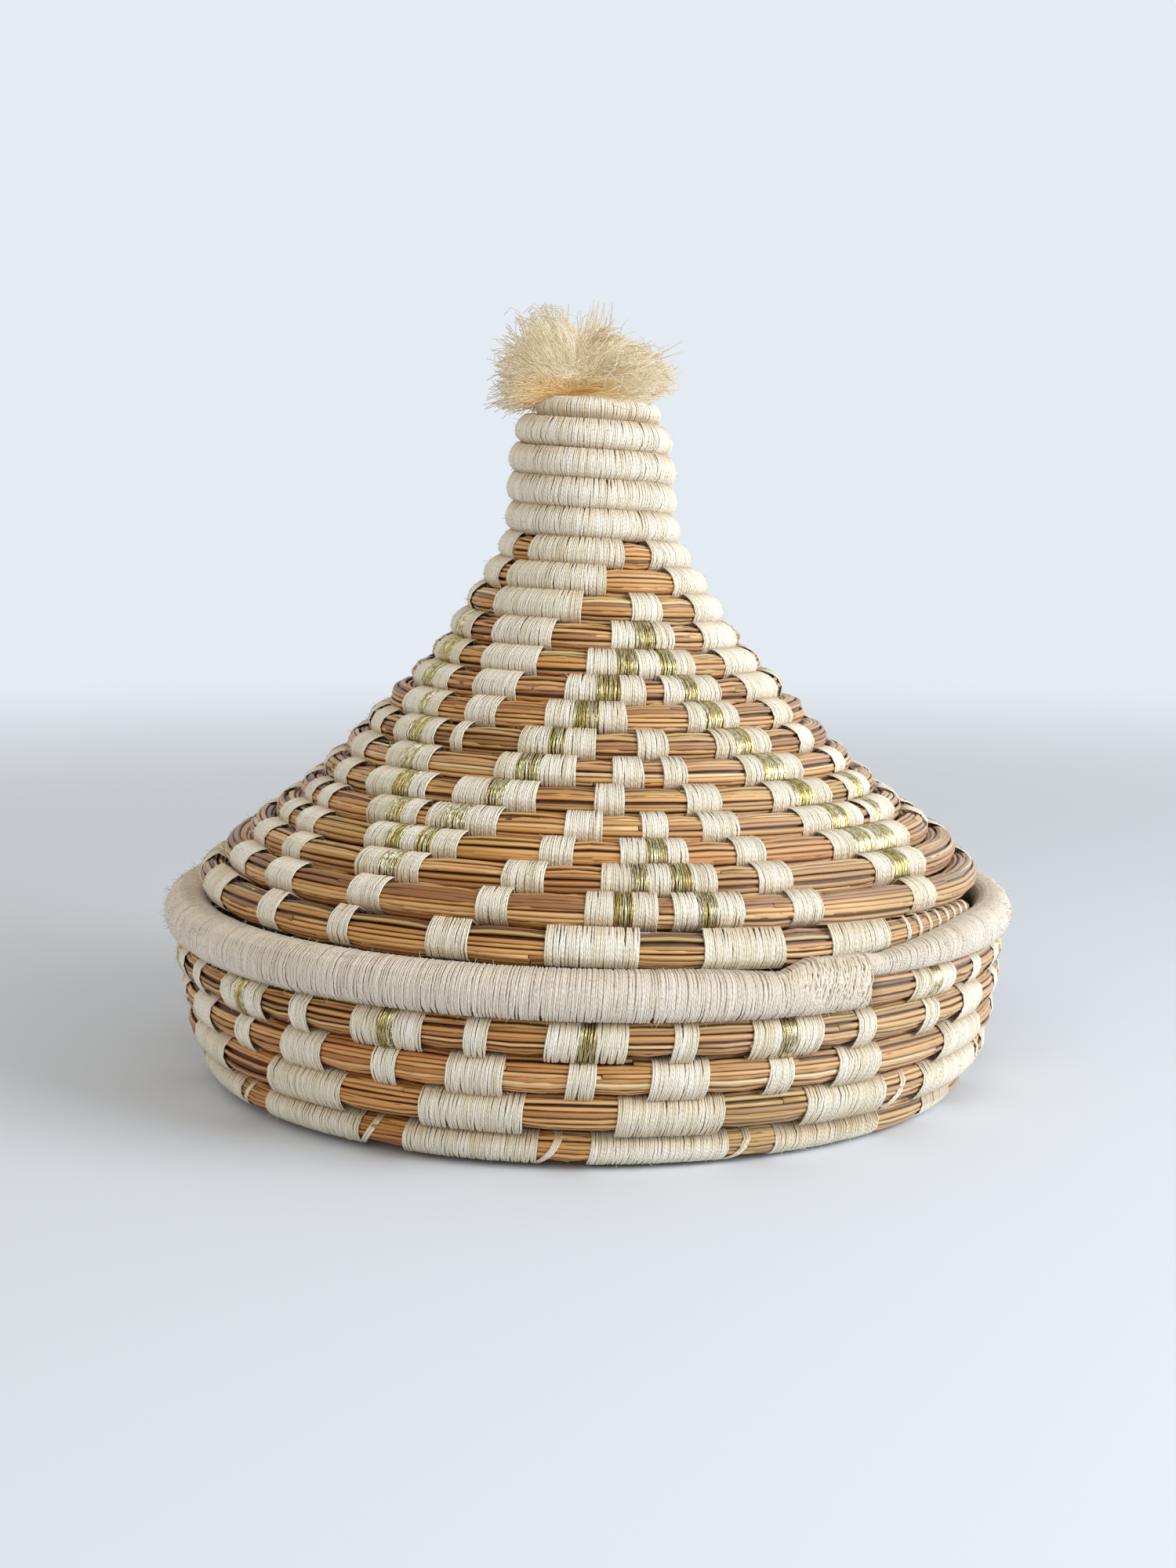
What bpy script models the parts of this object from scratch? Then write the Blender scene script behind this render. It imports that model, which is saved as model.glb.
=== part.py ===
"""A tagine basket: a coiled straw bread basket with a pointed lid that lifts off.

The bowl and the lid are each one long bundle of straw, wound in a spiral and sewn row to row.
The bowl's last turn is a thick roll wrapped in wool, and the lid sits on its inner shoulder.
Metres, +Z up, the origin under the middle of the floor. The front is towards -Y.
"""

import math

import bmesh
import bpy
import numpy as np
from mathutils import Vector
from mathutils.bvhtree import BVHTree

# Bowl: the middle line of the bundle, out along the floor and up the wall
floor_radius = 0.146
wall_flare = 0.0193
wall_height = 0.0596
# Corners of the wall from the floor's edge to the rim, as shares of the flare and of the height
floor_corners = 20
wall_shares = (
    (0.0, 0.0), (0.383, 0.022), (0.627, 0.257), (0.772, 0.492), (0.876, 0.73), (1.0, 1.0), (1.05, 1.25),
)
bowl_row = 0.0132
bowl_start_radius = 0.0114
# The rows are drawn in on the side where the rim's end comes down, so that the rim lies level
drawn_in_share = 0.045
drawn_in_angle = 90.0
# How thin the last reed row is where it runs out under the rim's end, and over how much of a turn
thin_row_share = 0.8
thin_row_turn = 0.6

# Rim roll: the bowl's last turn, thick and wrapped all over
rim_roll = 0.0174
rim_join_angle = 36.0
rim_overlap_turn = 0.022
# It swells from its start, is thinner along the back and the right, and tapers to its end
rim_start_share = 0.72
rim_swell_turn = 0.07
rim_thin_share = 0.8
rim_thin_turns = (0.5, 0.85)
rim_end_share = 0.28
rim_taper_turn = 0.1

# Lid: the middle line of the bundle, from the neck's top down to the edge
neck_radius = 0.0284
neck_height = 0.047
cone_height = 0.1445
# Corners of the neck, as shares of its radius and of its height, from the top's middle down
neck_shares = (
    (0.0, 1.0), (0.4, 1.0), (0.66, 0.995), (0.84, 0.91), (0.945, 0.71), (0.995, 0.49), (1.01, 0.25), (1.05, 0.0),
)
# Corners of the cone, as shares of the way out to the edge and of the cone's height
cone_shares = (
    (0.041, 0.915), (0.131, 0.783), (0.235, 0.646), (0.38, 0.508), (0.518, 0.38),
    (0.687, 0.242), (0.86, 0.128), (0.935, 0.076), (1.0, 0.0), (1.02, -0.1),
)
lid_row = 0.01188
lid_start_radius = 0.0112
# How thick a row is from the lid's top to its edge, as shares of a row
lid_row_shares = ((0.0, 0.86), (0.25, 0.92), (0.45, 1.0), (1.0, 1.02))
# The last row swells from the one before and ends in a thin tail
last_row_share = 1.2
last_row_swell_turn = 0.3
tail_end_share = 0.34
tail_end_angle = 69.0
tail_turn = 0.12
# The rows are let out on the side where the tail ends, so that the edge lies nearly level
let_out_share = 0.045
let_out_angle = 110.0
# How far the lid's edge lies inside the rim's middle line
seat_inset = 0.0099

# Fits
row_gap = 0.0009
seat_gap = 0.0003
# How far straight down the lid could still drop on to the rim
seat_drop = 0.0004

# How a bundle's section bulges out of the wall, as a share of its thickness
bulge_share = 1.06
# How much thinner a section is, and how much wider rows lie apart, where the line bends sharply
bend_relief_share = 0.22
bend_room_share = 0.12
bundle_sides = 6
roll_sides = 8
# Points of a loop: every second one is left out inside the small loops' radius
loop_points = 24
small_loop_radius = 0.056
roll_points = 48
# The knots that both coils start from
knot_fillet_share = 0.35
knot_segments = 12

# Tassel: locks of wool, bound to a core on the neck's top, stand up straight and then fall outwards
tassel_core_radius = 0.0026
tassel_core_length = 0.009
binding_width = 0.004
binding_thickness = 0.0011
binding_segments = 20
lock_stem = 0.0068
lock_reach = 0.0352
lock_rise = 0.0215
lock_fall = 0.0245
# Every second lock stands higher and falls further
lock_step = 0.0045
outer_locks = 8
crest_reach = 0.0085
crest_rise = 0.0158
crest_locks = 3
crest_root_share = 0.55
# A lock's shape: how far out and up the top of its arc is, its sides, how it fills its place, its tip
lock_bow_shares = (0.7, 1.15)
lock_sides = 6
lock_rings = 8
lock_fill_share = 0.9
lock_tip_share = 0.12
lock_taper_from = 0.35

# Colours
straw = (0.52, 0.31, 0.13, 1)
wool = (0.78, 0.72, 0.60, 1)
wool_yellow = (0.80, 0.72, 0.50, 1)

full_turn = 360.0
sharp_angle = 50.0
# How finely curves are sampled: points between two corners, steps along a line, steps along an edge
corner_points = 40
fine_steps = 2000
edge_steps = 6
# How near two points on neighbouring rows are compared, and the least step that a ring takes, in loop points
gap_window = 3
least_step = 0.3


def clear_scene():
    for thing in list(bpy.data.objects):
        bpy.data.objects.remove(thing, do_unlink=True)


def material(name, colour, roughness, metallic=0.0):
    found = bpy.data.materials.get(name)
    if found:
        return found
    made = bpy.data.materials.new(name)
    made.use_nodes = True
    shader = made.node_tree.nodes["Principled BSDF"]
    shader.inputs["Base Color"].default_value = colour
    shader.inputs["Roughness"].default_value = roughness
    shader.inputs["Metallic"].default_value = metallic
    return made


def place(name, points, faces, look, carrier=None, shift=(0, 0, 0)):
    """Makes one object of points and faces, its normals outwards, and hangs it on its carrier."""
    mesh = bpy.data.meshes.new(name)
    shell = bmesh.new()
    corners = [shell.verts.new(point) for point in points]
    for face in faces:
        shell.faces.new([corners[index] for index in face])
    bmesh.ops.recalc_face_normals(shell, faces=shell.faces)
    shell.to_mesh(mesh)
    shell.free()
    mesh.shade_smooth()
    mesh.set_sharp_from_angle(angle=math.radians(sharp_angle))
    mesh.materials.append(look)
    thing = bpy.data.objects.new(name, mesh)
    bpy.context.collection.objects.link(thing)
    thing.location = shift
    thing.parent = carrier
    return thing


def tube_faces(rings, sides):
    """The side faces between each ring and the next, and a flat cap on both ends."""
    faces = []
    for ring in range(rings - 1):
        for side in range(sides):
            after = (side + 1) % sides
            low, high = ring * sides, (ring + 1) * sides
            faces.append((low + side, low + after, high + after, high + side))
    faces.append(tuple(range(sides)))
    faces.append(tuple(range((rings - 1) * sides, rings * sides)))
    return faces


def turned(profile, segments):
    """Turns a profile of (radius, height) pairs, which starts and ends on the axis, about Z."""
    inner = profile[1:-1]
    points = [(0, 0, profile[0][1])]
    for radius, height in inner:
        for step in range(segments):
            angle = math.tau * step / segments
            points.append((radius * math.cos(angle), radius * math.sin(angle), height))
    points.append((0, 0, profile[-1][1]))
    faces = []
    last = len(points) - 1
    for step in range(segments):
        after = (step + 1) % segments
        faces.append((0, 1 + after, 1 + step))
        for ring in range(len(inner) - 1):
            low, high = 1 + ring * segments, 1 + (ring + 1) * segments
            faces.append((low + step, low + after, high + after, high + step))
        top = 1 + (len(inner) - 1) * segments
        faces.append((top + step, top + after, last))
    return points, faces


def smooth_line(corners, lowest):
    """A Catmull-Rom curve through the corners, no lower than the lowest, and the distance along it."""
    ends = [2 * corners[0] - corners[1], *corners, 2 * corners[-1] - corners[-2]]
    share = np.linspace(0, 1, corner_points, endpoint=False)[:, None]
    pieces = []
    for before, start, end, after in zip(ends, ends[1:], ends[2:], ends[3:]):
        bend = 2 * before - 5 * start + 4 * end - after
        twist = 3 * start - 3 * end + after - before
        pieces.append((2 * start + (end - before) * share + bend * share**2 + twist * share**3) / 2)
    line = np.concatenate([*pieces, [corners[-1]]])
    line[:, 1] = np.maximum(line[:, 1], lowest)
    along = np.concatenate([[0], np.cumsum(np.linalg.norm(np.diff(line, axis=0), axis=1))])
    return line, along


def line_at(line, along, where):
    """The point and the direction of a smooth line at the given distances along it."""
    step = along[-1] / len(along)

    def point(distance):
        return np.stack([np.interp(distance, along, line[:, axis]) for axis in (0, 1)], axis=1)

    ahead = point(where + step) - point(where - step)
    return point(where), ahead / np.linalg.norm(ahead, axis=1)[:, None]


def bend_at(line, along, where, reach):
    """How much a line bends across a row: the sine of the angle that it turns through there."""
    _, before = line_at(line, along, where - reach)
    _, after = line_at(line, along, where + reach)
    return np.abs(before[:, 0] * after[:, 1] - before[:, 1] * after[:, 0])


def wound(line, along, start, end, thickness_of):
    """Thin steps along a line, how thick a row is at each, and how many turns are wound up to it."""
    steps = np.linspace(start, end, fine_steps)
    thickness = thickness_of(steps)
    room = (thickness + row_gap) * (1 + bend_room_share * bend_at(line, along, steps, thickness / 2))
    turns = np.concatenate([[0], np.cumsum(np.diff(steps) / room[1:])])
    return steps, thickness, turns


def ease(value, start, end):
    """Goes smoothly from 0 at start to 1 at end."""
    share = np.clip((value - start) / (end - start), 0, 1)
    return share * share * (3 - 2 * share)


def unit_sections(phases, sides):
    """Regular polygons turned by the phases, stretched to reach 1 both ways."""
    angles = phases[:, None] + math.tau * np.arange(sides)[None, :] / sides
    out, across = np.cos(angles), np.sin(angles)
    return out / out.max(axis=1)[:, None], across / across.max(axis=1)[:, None]


def bundle_points(angles, middle, ahead, half, bend, sides, phases, outward):
    """The rings of a wound bundle, each in the upright plane through the axis at its angle."""
    out_share, across_share = unit_sections(phases, sides)
    reach = half * (1 - bend_relief_share * bend)
    normal = outward * np.stack([ahead[:, 1], -ahead[:, 0]], axis=1)
    out = (reach * bulge_share)[:, None] * out_share
    across = reach[:, None] * across_share
    flat = middle[:, None, :] + out[:, :, None] * normal[:, None, :] + across[:, :, None] * ahead[:, None, :]
    turn = np.radians(angles)[:, None]
    return np.stack([flat[:, :, 0] * np.sin(turn), -flat[:, :, 0] * np.cos(turn), flat[:, :, 1]], axis=2)


def least_gap(rings, turns):
    """The least distance between points on a wound bundle that lie on different rows."""
    middles = (rings + np.roll(rings, 1, axis=1)) / 2
    dense = np.concatenate([rings, middles], axis=1)
    between = (dense[1:] + dense[:-1]) / 2
    dense = np.concatenate([dense[:-1], between], axis=1)
    turns = turns[:-1]
    least = math.inf
    for index in range(len(dense)):
        near = np.abs(turns - turns[index] - 1) < gap_window / loop_points
        if near.any():
            apart = dense[near].reshape(-1, 1, 3) - dense[index][None, :, :]
            least = min(least, float(np.linalg.norm(apart, axis=2).min()))
    return least


def stations(start, end, offset, radius_at, points):
    """The turns at which a bundle has a ring: even steps round the axis, wider where a row is small."""
    first = math.ceil((start + offset) * points)
    last = math.floor((end + offset) * points)
    kept = [start]
    for number in range(first, last + 1):
        turn = number / points - offset
        skipped = number % 2 and radius_at(turn) < small_loop_radius
        apart = min(turn - kept[-1], end - turn)
        if not skipped and apart > least_step / points:
            kept.append(turn)
    kept.append(end)
    return np.array(kept)


# The bowl's line starts under the middle, runs out along the floor and climbs the wall
bowl_half = bowl_row / 2
floor_level = bowl_half * bulge_share
bowl_corners = [np.array([out, floor_level]) for out in np.linspace(0, floor_radius, floor_corners, endpoint=False)]
for out, up in wall_shares:
    bowl_corners.append(np.array([floor_radius + wall_flare * out, floor_level + wall_height * up]))
bowl_line, bowl_along = smooth_line(bowl_corners, floor_level)
bowl_pitch = bowl_row + row_gap
rim_half = rim_roll / 2

# The rim's middle at the front lies where the wall's corners end, so the reed rows end below it
rim_corner = bowl_corners[-2]
rim_along = float(bowl_along[-1 - corner_points])
front_row_along = rim_along - rim_half - row_gap - bowl_half
bowl_steps, _, bowl_turns_along = wound(
    bowl_line, bowl_along, bowl_start_radius, bowl_along[-1], lambda steps: np.full(len(steps), bowl_row))
turns_to_front = float(np.interp(front_row_along, bowl_steps, bowl_turns_along))
bowl_end_turn = turns_to_front + 1 - rim_join_angle / full_turn
wall_start_along = floor_radius


def bowl_angle(turn):
    """The bowl winds clockwise seen from above, and its reed rows end at the join."""
    return rim_join_angle + full_turn * (bowl_end_turn - turn)


def drawn_in(turn, along):
    """How far a row is drawn in: nothing on the floor, and most on the side of the rim's end."""
    side = np.cos(np.radians(bowl_angle(turn) - drawn_in_angle)) / 2 + 0.5
    return 1 - drawn_in_share * side * side * ease(along, wall_start_along - bowl_pitch, wall_start_along + bowl_pitch)


def bowl_row_at(turn):
    """Distance along the bowl's line, and half the thickness, of the reed rows."""
    along = np.interp(turn, bowl_turns_along, bowl_steps)
    tight = drawn_in(turn, along)
    above = np.maximum(along - wall_start_along, 0)
    thinner = (1 - thin_row_share) * ease(turn, bowl_end_turn - thin_row_turn, bowl_end_turn)
    half = bowl_half * tight * (1 - thinner)
    return along - above * (1 - tight) - bowl_half * tight * thinner, half


def rim_half_at(turn):
    """Half the rim's thickness: it swells from its start, thins at the back and ends in a taper."""
    gone = turn - bowl_end_turn
    swell = rim_start_share + (1 - rim_start_share) * ease(gone, 0, rim_swell_turn)
    thin = 1 - (1 - rim_thin_share) * ease(gone, *rim_thin_turns)
    end = 1 + rim_overlap_turn
    taper = 1 - (1 - rim_end_share / rim_thin_share) * ease(gone, end - rim_taper_turn, end)
    return rim_half * swell * thin * taper


def rim_at(turn):
    """The rim lies on the last reed row, and its tapered end lies on its own start."""
    under, under_half = bowl_row_at(turn - 1)
    half = rim_half_at(turn)
    over_start = turn - 1 > bowl_end_turn
    below = under + under_half
    if over_start.any():
        first, first_half = bowl_row_at(turn - 2)
        start_half = rim_half_at(turn - 1)
        below = np.where(over_start, first + first_half + row_gap + 2 * start_half, below)
    return below + row_gap + half, half


def bowl_rings(turns, along, half, sides, phases):
    middle, ahead = line_at(bowl_line, bowl_along, along)
    bend = bend_at(bowl_line, bowl_along, along, half)
    return bundle_points(bowl_angle(turns), middle, ahead, half, bend, sides, phases, 1)


def make_bowl(look, wool_look):
    turns = stations(0, bowl_end_turn, (bowl_end_turn + rim_join_angle / full_turn) * -1,
                     lambda turn: bowl_start_radius + bowl_pitch * turn, loop_points)
    along, half = bowl_row_at(turns)
    flat_under = np.full(len(turns), math.pi / bundle_sides)
    rings = bowl_rings(turns, along, half, bundle_sides, flat_under)
    place("bowl_coil", rings.reshape(-1, 3), tube_faces(len(rings), bundle_sides), look)
    print(f"bowl_coil: {turns[-1]:.2f} turns, least gap to itself {least_gap(rings, turns) * 1000:.2f} mm")

    join_gap_turn = seat_gap / (math.tau * rim_corner[0])
    start = bowl_end_turn + join_gap_turn
    end = bowl_end_turn + 1 + rim_overlap_turn
    turns = stations(start, end, (bowl_end_turn + rim_join_angle / full_turn) * -1,
                     lambda turn: rim_corner[0], roll_points)
    along, half = rim_at(turns)
    phases = np.full(len(turns), math.pi / roll_sides)
    rings = bowl_rings(turns, along, half, roll_sides, phases)
    rim = place("rim_roll", rings.reshape(-1, 3), tube_faces(len(rings), roll_sides), wool_look)
    print(f"rim_roll: least gap to itself {least_gap(rings, turns) * 1000:.2f} mm")
    return rim


def make_bowl_knot(look):
    """The knot that the bowl's coil starts from, flat underneath where it meets the table."""
    radius = bowl_start_radius - bowl_half - row_gap
    height = 2 * floor_level
    fillet = radius * knot_fillet_share
    profile = [(0, 0), (radius - fillet, 0), (radius, fillet), (radius, height - fillet),
               (radius - fillet, height), (0, height)]
    points, faces = turned(profile, knot_segments)
    place("bowl_start_knot", points, faces, look)


# The lid's line starts at the middle of the neck's top and runs down to the edge
lid_edge_radius = floor_radius + wall_flare - seat_inset
lid_corners = [np.array([neck_radius * out, cone_height + neck_height * up]) for out, up in neck_shares]
for out, up in cone_shares:
    lid_corners.append(np.array([neck_radius + (lid_edge_radius - neck_radius) * out, cone_height * up]))
lid_line, lid_along = smooth_line(lid_corners, -cone_height)
edge_along = float(lid_along[-1 - corner_points])
neck_along = float(lid_along[corner_points * (len(neck_shares) - 1)])

share_places = [place_share for place_share, _ in lid_row_shares]
share_values = [value for _, value in lid_row_shares]
lid_steps, lid_thickness, lid_turns_along = wound(
    lid_line, lid_along, lid_start_radius, edge_along,
    lambda steps: lid_row * np.interp(steps / edge_along, share_places, share_values))
last_row_rise = last_row_share / 2 - 0.5
lid_end_turn = float(lid_turns_along[-1]) - last_row_rise + tail_end_angle / full_turn


def lid_angle(turn):
    """The lid winds down anticlockwise seen from above, and its tail ends at the front's right."""
    return tail_end_angle + full_turn * (turn - lid_end_turn)


def let_out(turn, along):
    """How far a row is let out: nothing on the neck, and most on the side of the tail's end."""
    side = np.cos(np.radians(lid_angle(turn) - let_out_angle)) / 2 + 0.5
    return 1 + let_out_share * side * side * ease(along, neck_along, edge_along)


def lid_plain_row_at(turn):
    along = np.interp(turn, lid_turns_along, lid_steps)
    half = np.interp(along, lid_steps, lid_thickness) / 2
    loose = let_out(turn, along)
    return along + (along - neck_along) * (loose - 1), half * loose


def lid_row_at(turn):
    """The rows follow the line. The last row is thicker, lies under the one before and tapers."""
    along, half = lid_plain_row_at(turn)
    gone = turn - (lid_end_turn - 1)
    above, above_half = lid_plain_row_at(turn - 1)
    thick = 1 + (last_row_share - 1) * ease(gone, 0, last_row_swell_turn)
    taper = 1 - (1 - tail_end_share) * ease(gone, 1 - tail_turn, 1)
    last_half = above_half * thick * taper
    last = above + above_half + row_gap + last_half
    return np.where(gone > 0, last, along), np.where(gone > 0, last_half, half)


def lid_sections(turns):
    along, half = lid_row_at(turns)
    middle, ahead = line_at(lid_line, lid_along, along)
    return middle, ahead, half


def make_lid(look, carrier):
    turns = stations(0, lid_end_turn, (lid_end_turn - tail_end_angle / full_turn) * -1,
                     lambda turn: np.interp(lid_row_at(np.array([turn]))[0][0], lid_along, lid_line[:, 0]),
                     loop_points)
    middle, ahead, half = lid_sections(turns)
    phases = np.full(len(turns), math.pi / bundle_sides)
    bend = bend_at(lid_line, lid_along, lid_row_at(turns)[0], half)
    rings = bundle_points(lid_angle(turns), middle, ahead, half, bend, bundle_sides, phases, -1)
    coil = place("lid_coil", rings.reshape(-1, 3), tube_faces(len(rings), bundle_sides), look, carrier)
    print(f"lid_coil: {turns[-1]:.2f} turns, least gap to itself {least_gap(rings, turns) * 1000:.2f} mm")
    return coil


def make_lid_knot(look, carrier):
    """The knot that the lid's coil starts from, which closes the neck and carries the tassel."""
    _, half = lid_plain_row_at(np.array([0.0]))
    radius = lid_start_radius - float(half[0]) - row_gap
    top = neck_height + cone_height + float(half[0]) * bulge_share
    height = 2 * float(half[0])
    fillet = radius * knot_fillet_share
    profile = [(0, 0), (radius - fillet, 0), (radius, fillet), (radius, height - fillet),
               (radius - fillet, height), (0, height)]
    points, faces = turned(profile, knot_segments)
    place("lid_start_knot", points, faces, look, carrier, (0, 0, top - height))
    return top


def lock_path(root, side, out, up, fall):
    """A lock's middle line: straight through the binding, then an arc out, over and down."""
    rise = Vector((0, 0, 1))
    start = root + rise * lock_stem
    bow_out, bow_up = lock_bow_shares
    bends = (start, start + rise * up, start + side * out * bow_out + rise * up * bow_up,
             start + side * out + rise * (up - fall))
    points = [root]
    for ring in range(lock_rings):
        share = ring / (lock_rings - 1)
        left = 1 - share
        weights = (left**3, 3 * left * left * share, 3 * left * share * share, share**3)
        points.append(sum((bend * weight for bend, weight in zip(bends, weights)), Vector((0, 0, 0))))
    return points


def lock(name, path, side, fill, look, carrier):
    """A lock of wool, thin at its root, as thick as its place in the ring allows, thin at its tip."""
    across = Vector((0, 0, 1)).cross(side)
    points = []
    for ring, middle in enumerate(path):
        before, after = path[max(ring - 1, 0)], path[min(ring + 1, len(path) - 1)]
        over = across.cross(after - before).normalized()
        share = max(ring - 1, 0) / (len(path) - 2)
        taper = 1 - (1 - lock_tip_share) * float(ease(share, lock_taper_from, 1))
        size = fill * middle.dot(side) * taper
        for corner in range(lock_sides):
            turn = math.tau * corner / lock_sides
            points.append(middle + (across * math.cos(turn) + over * math.sin(turn)) * size)
    place(name, points, tube_faces(len(path), lock_sides), look, carrier)


def make_locks(name, count, root_radius, base, reach, rise, falls, look, carrier):
    """A ring of locks. The falls are how far each lock in turn comes down from the top of its arc."""
    fill = math.sin(math.pi / count) * lock_fill_share
    for number in range(count):
        angle = math.tau * (number + 0.5) / count
        side = Vector((math.sin(angle), -math.cos(angle), 0))
        root = side * root_radius + Vector((0, 0, base))
        step = lock_step * (number % 2)
        path = lock_path(root, side, reach, rise + step, falls[number % 2])
        lock(f"{name}_{number + 1}", path, side, fill, look, carrier)


def make_binding(inner, low, look, carrier):
    """The yarn wound round the locks' stems, as one flat band with drawn-in edges."""
    middle = low + binding_width / 2
    outer = inner + binding_thickness
    section = [(inner, low), (outer, middle - binding_width / 4), (outer, middle + binding_width / 4),
               (inner, low + binding_width)]
    corners = len(section)
    points = []
    faces = []
    for step in range(binding_segments):
        angle = math.tau * step / binding_segments
        points += [(radius * math.cos(angle), radius * math.sin(angle), height) for radius, height in section]
        here, there = step * corners, (step + 1) % binding_segments * corners
        for corner in range(corners):
            after = (corner + 1) % corners
            faces.append((here + corner, here + after, there + after, there + corner))
    place("tassel_binding", points, faces, look, carrier)


def make_tassel(look, carrier, top):
    base = top + seat_gap
    core_top = base + tassel_core_length
    profile = [(0, base), (tassel_core_radius, base), (tassel_core_radius, core_top), (0, core_top)]
    points, faces = turned(profile, knot_segments)
    place("tassel_core", points, faces, look, carrier)

    fill = math.sin(math.pi / outer_locks) * lock_fill_share
    ring = (tassel_core_radius + seat_gap) / (1 - fill)
    make_binding(ring * (1 + fill) + seat_gap, base + binding_width / 2, look, carrier)
    make_locks("tassel_lock", outer_locks, ring, base + seat_gap, lock_reach, lock_rise,
               (lock_fall, lock_fall + lock_step), look, carrier)
    make_locks("tassel_crest", crest_locks, tassel_core_radius * crest_root_share, core_top + seat_gap,
               crest_reach, crest_rise, (0, 0), look, carrier)


def edge_points(thing):
    """Points spread along every edge of a piece."""
    corners = thing.data.vertices
    points = []
    for edge in thing.data.edges:
        start, end = (corners[index].co for index in edge.vertices)
        points += [start.lerp(end, step / edge_steps) for step in range(edge_steps)]
    return points


def piece_tree(thing):
    corners = [corner.co for corner in thing.data.vertices]
    return BVHTree.FromPolygons(corners, [tuple(face.vertices) for face in thing.data.polygons])


def seat_height(upper, lower):
    """How high the upper piece stands when it rests on the lower one, the seat's drop above it."""
    upper_tree, lower_tree = piece_tree(upper), piece_tree(lower)
    rise = Vector((0, 0, 1))
    clear = rise * (wall_height + cone_height)
    drops = []
    for point in edge_points(upper):
        drops.append(lower_tree.ray_cast(point + clear, -rise)[3])
    for point in edge_points(lower):
        drops.append(upper_tree.ray_cast(point - clear, rise)[3])
    return clear.z - min(drop for drop in drops if drop is not None) + seat_drop


def build():
    clear_scene()
    reed_look = material("reed", straw, 0.45)
    wool_look = material("cream_wool", wool, 0.9)
    yellow_look = material("tassel_wool", wool_yellow, 0.9)
    make_bowl_knot(wool_look)
    rim = make_bowl(reed_look, wool_look)
    lid = bpy.data.objects.new("lid", None)
    bpy.context.collection.objects.link(lid)
    lid_coil = make_lid(reed_look, lid)
    lid.location = (0, 0, seat_height(lid_coil, rim))
    top = make_lid_knot(wool_look, lid)
    make_tassel(yellow_look, lid, top)
    print(f"lid's edge line at {lid.location.z * 1000:.1f} mm")
    bpy.context.view_layer.update()


build()
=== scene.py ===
"""The look of a tagine basket: straw coils sewn in cream and gold yarn, a wrapped rim and a wool tassel.

Metres, +Z up, the front towards -Y. Angles go round from the front, to the right as one looks at it.
"""

import math

import bpy
import numpy as np
from mathutils import Matrix, Vector


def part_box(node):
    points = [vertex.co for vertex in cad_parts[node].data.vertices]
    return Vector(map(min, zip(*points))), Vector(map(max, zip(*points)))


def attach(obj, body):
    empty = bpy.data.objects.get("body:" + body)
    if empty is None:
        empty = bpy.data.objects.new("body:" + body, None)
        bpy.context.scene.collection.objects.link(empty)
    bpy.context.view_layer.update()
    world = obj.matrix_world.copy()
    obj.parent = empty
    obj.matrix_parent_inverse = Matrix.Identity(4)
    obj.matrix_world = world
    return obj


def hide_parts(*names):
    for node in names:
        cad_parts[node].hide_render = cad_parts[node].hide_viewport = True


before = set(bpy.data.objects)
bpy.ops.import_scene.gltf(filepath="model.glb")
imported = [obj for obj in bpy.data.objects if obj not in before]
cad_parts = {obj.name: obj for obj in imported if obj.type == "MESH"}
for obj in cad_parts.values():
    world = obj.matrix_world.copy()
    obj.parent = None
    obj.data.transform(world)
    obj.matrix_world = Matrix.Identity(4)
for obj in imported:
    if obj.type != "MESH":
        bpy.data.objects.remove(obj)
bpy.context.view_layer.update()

# The view
# A camera held level with the basket's shoulder, a little under a metre away, tipped slightly down.
# Soft daylight falls from the right, and the ground is a plain pale table that fades out.
eye = (-0.00102, -0.9, 0.2367)
lens_mm = 50.09
film_mm = 36
looks_down = math.radians(7.58)
roll = 0.004
day_colour = (1.0, 0.975, 0.94, 1)
day_strength = 0.52
backdrop_colour = (229, 235, 242)
lit_point = (0, 0, 0.13)


def in_scene(name, data):
    """A camera, lamp or mesh as an object of the scene, at the origin at first."""
    thing = bpy.data.objects.new(name, data)
    bpy.context.collection.objects.link(thing)
    return thing


camera_data = bpy.data.cameras.new("camera")
camera_data.lens = lens_mm
camera_data.sensor_fit = "VERTICAL"
camera_data.sensor_height = film_mm
camera = in_scene("camera", camera_data)
turned_down = Matrix.Rotation(math.pi / 2 - looks_down, 4, "X")
camera.matrix_world = Matrix.Translation(eye) @ turned_down @ Matrix.Rotation(roll, 4, "Z")
bpy.context.scene.camera = camera
bpy.context.scene.view_settings.view_transform = "Standard"


def linear(red, green, blue):
    """A colour as the eye sees it, 0 to 255 each, as a shader's light values, by the sRGB curve."""
    share = np.array((red, green, blue)) / 255
    light = np.where(share <= 0.04045, share / 12.92, ((share + 0.055) / 1.055) ** 2.4)
    return (*map(float, light), 1.0)


def add_node(tree, kind, inputs=None, **settings):
    """A node with its settings made and its inputs set, or linked where a socket is given."""
    made = tree.nodes.new(kind)
    for name, value in settings.items():
        setattr(made, name, value)
    for name, value in (inputs or {}).items():
        if isinstance(value, bpy.types.NodeSocket):
            tree.links.new(value, made.inputs[name])
        else:
            made.inputs[name].default_value = value
    return made


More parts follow.
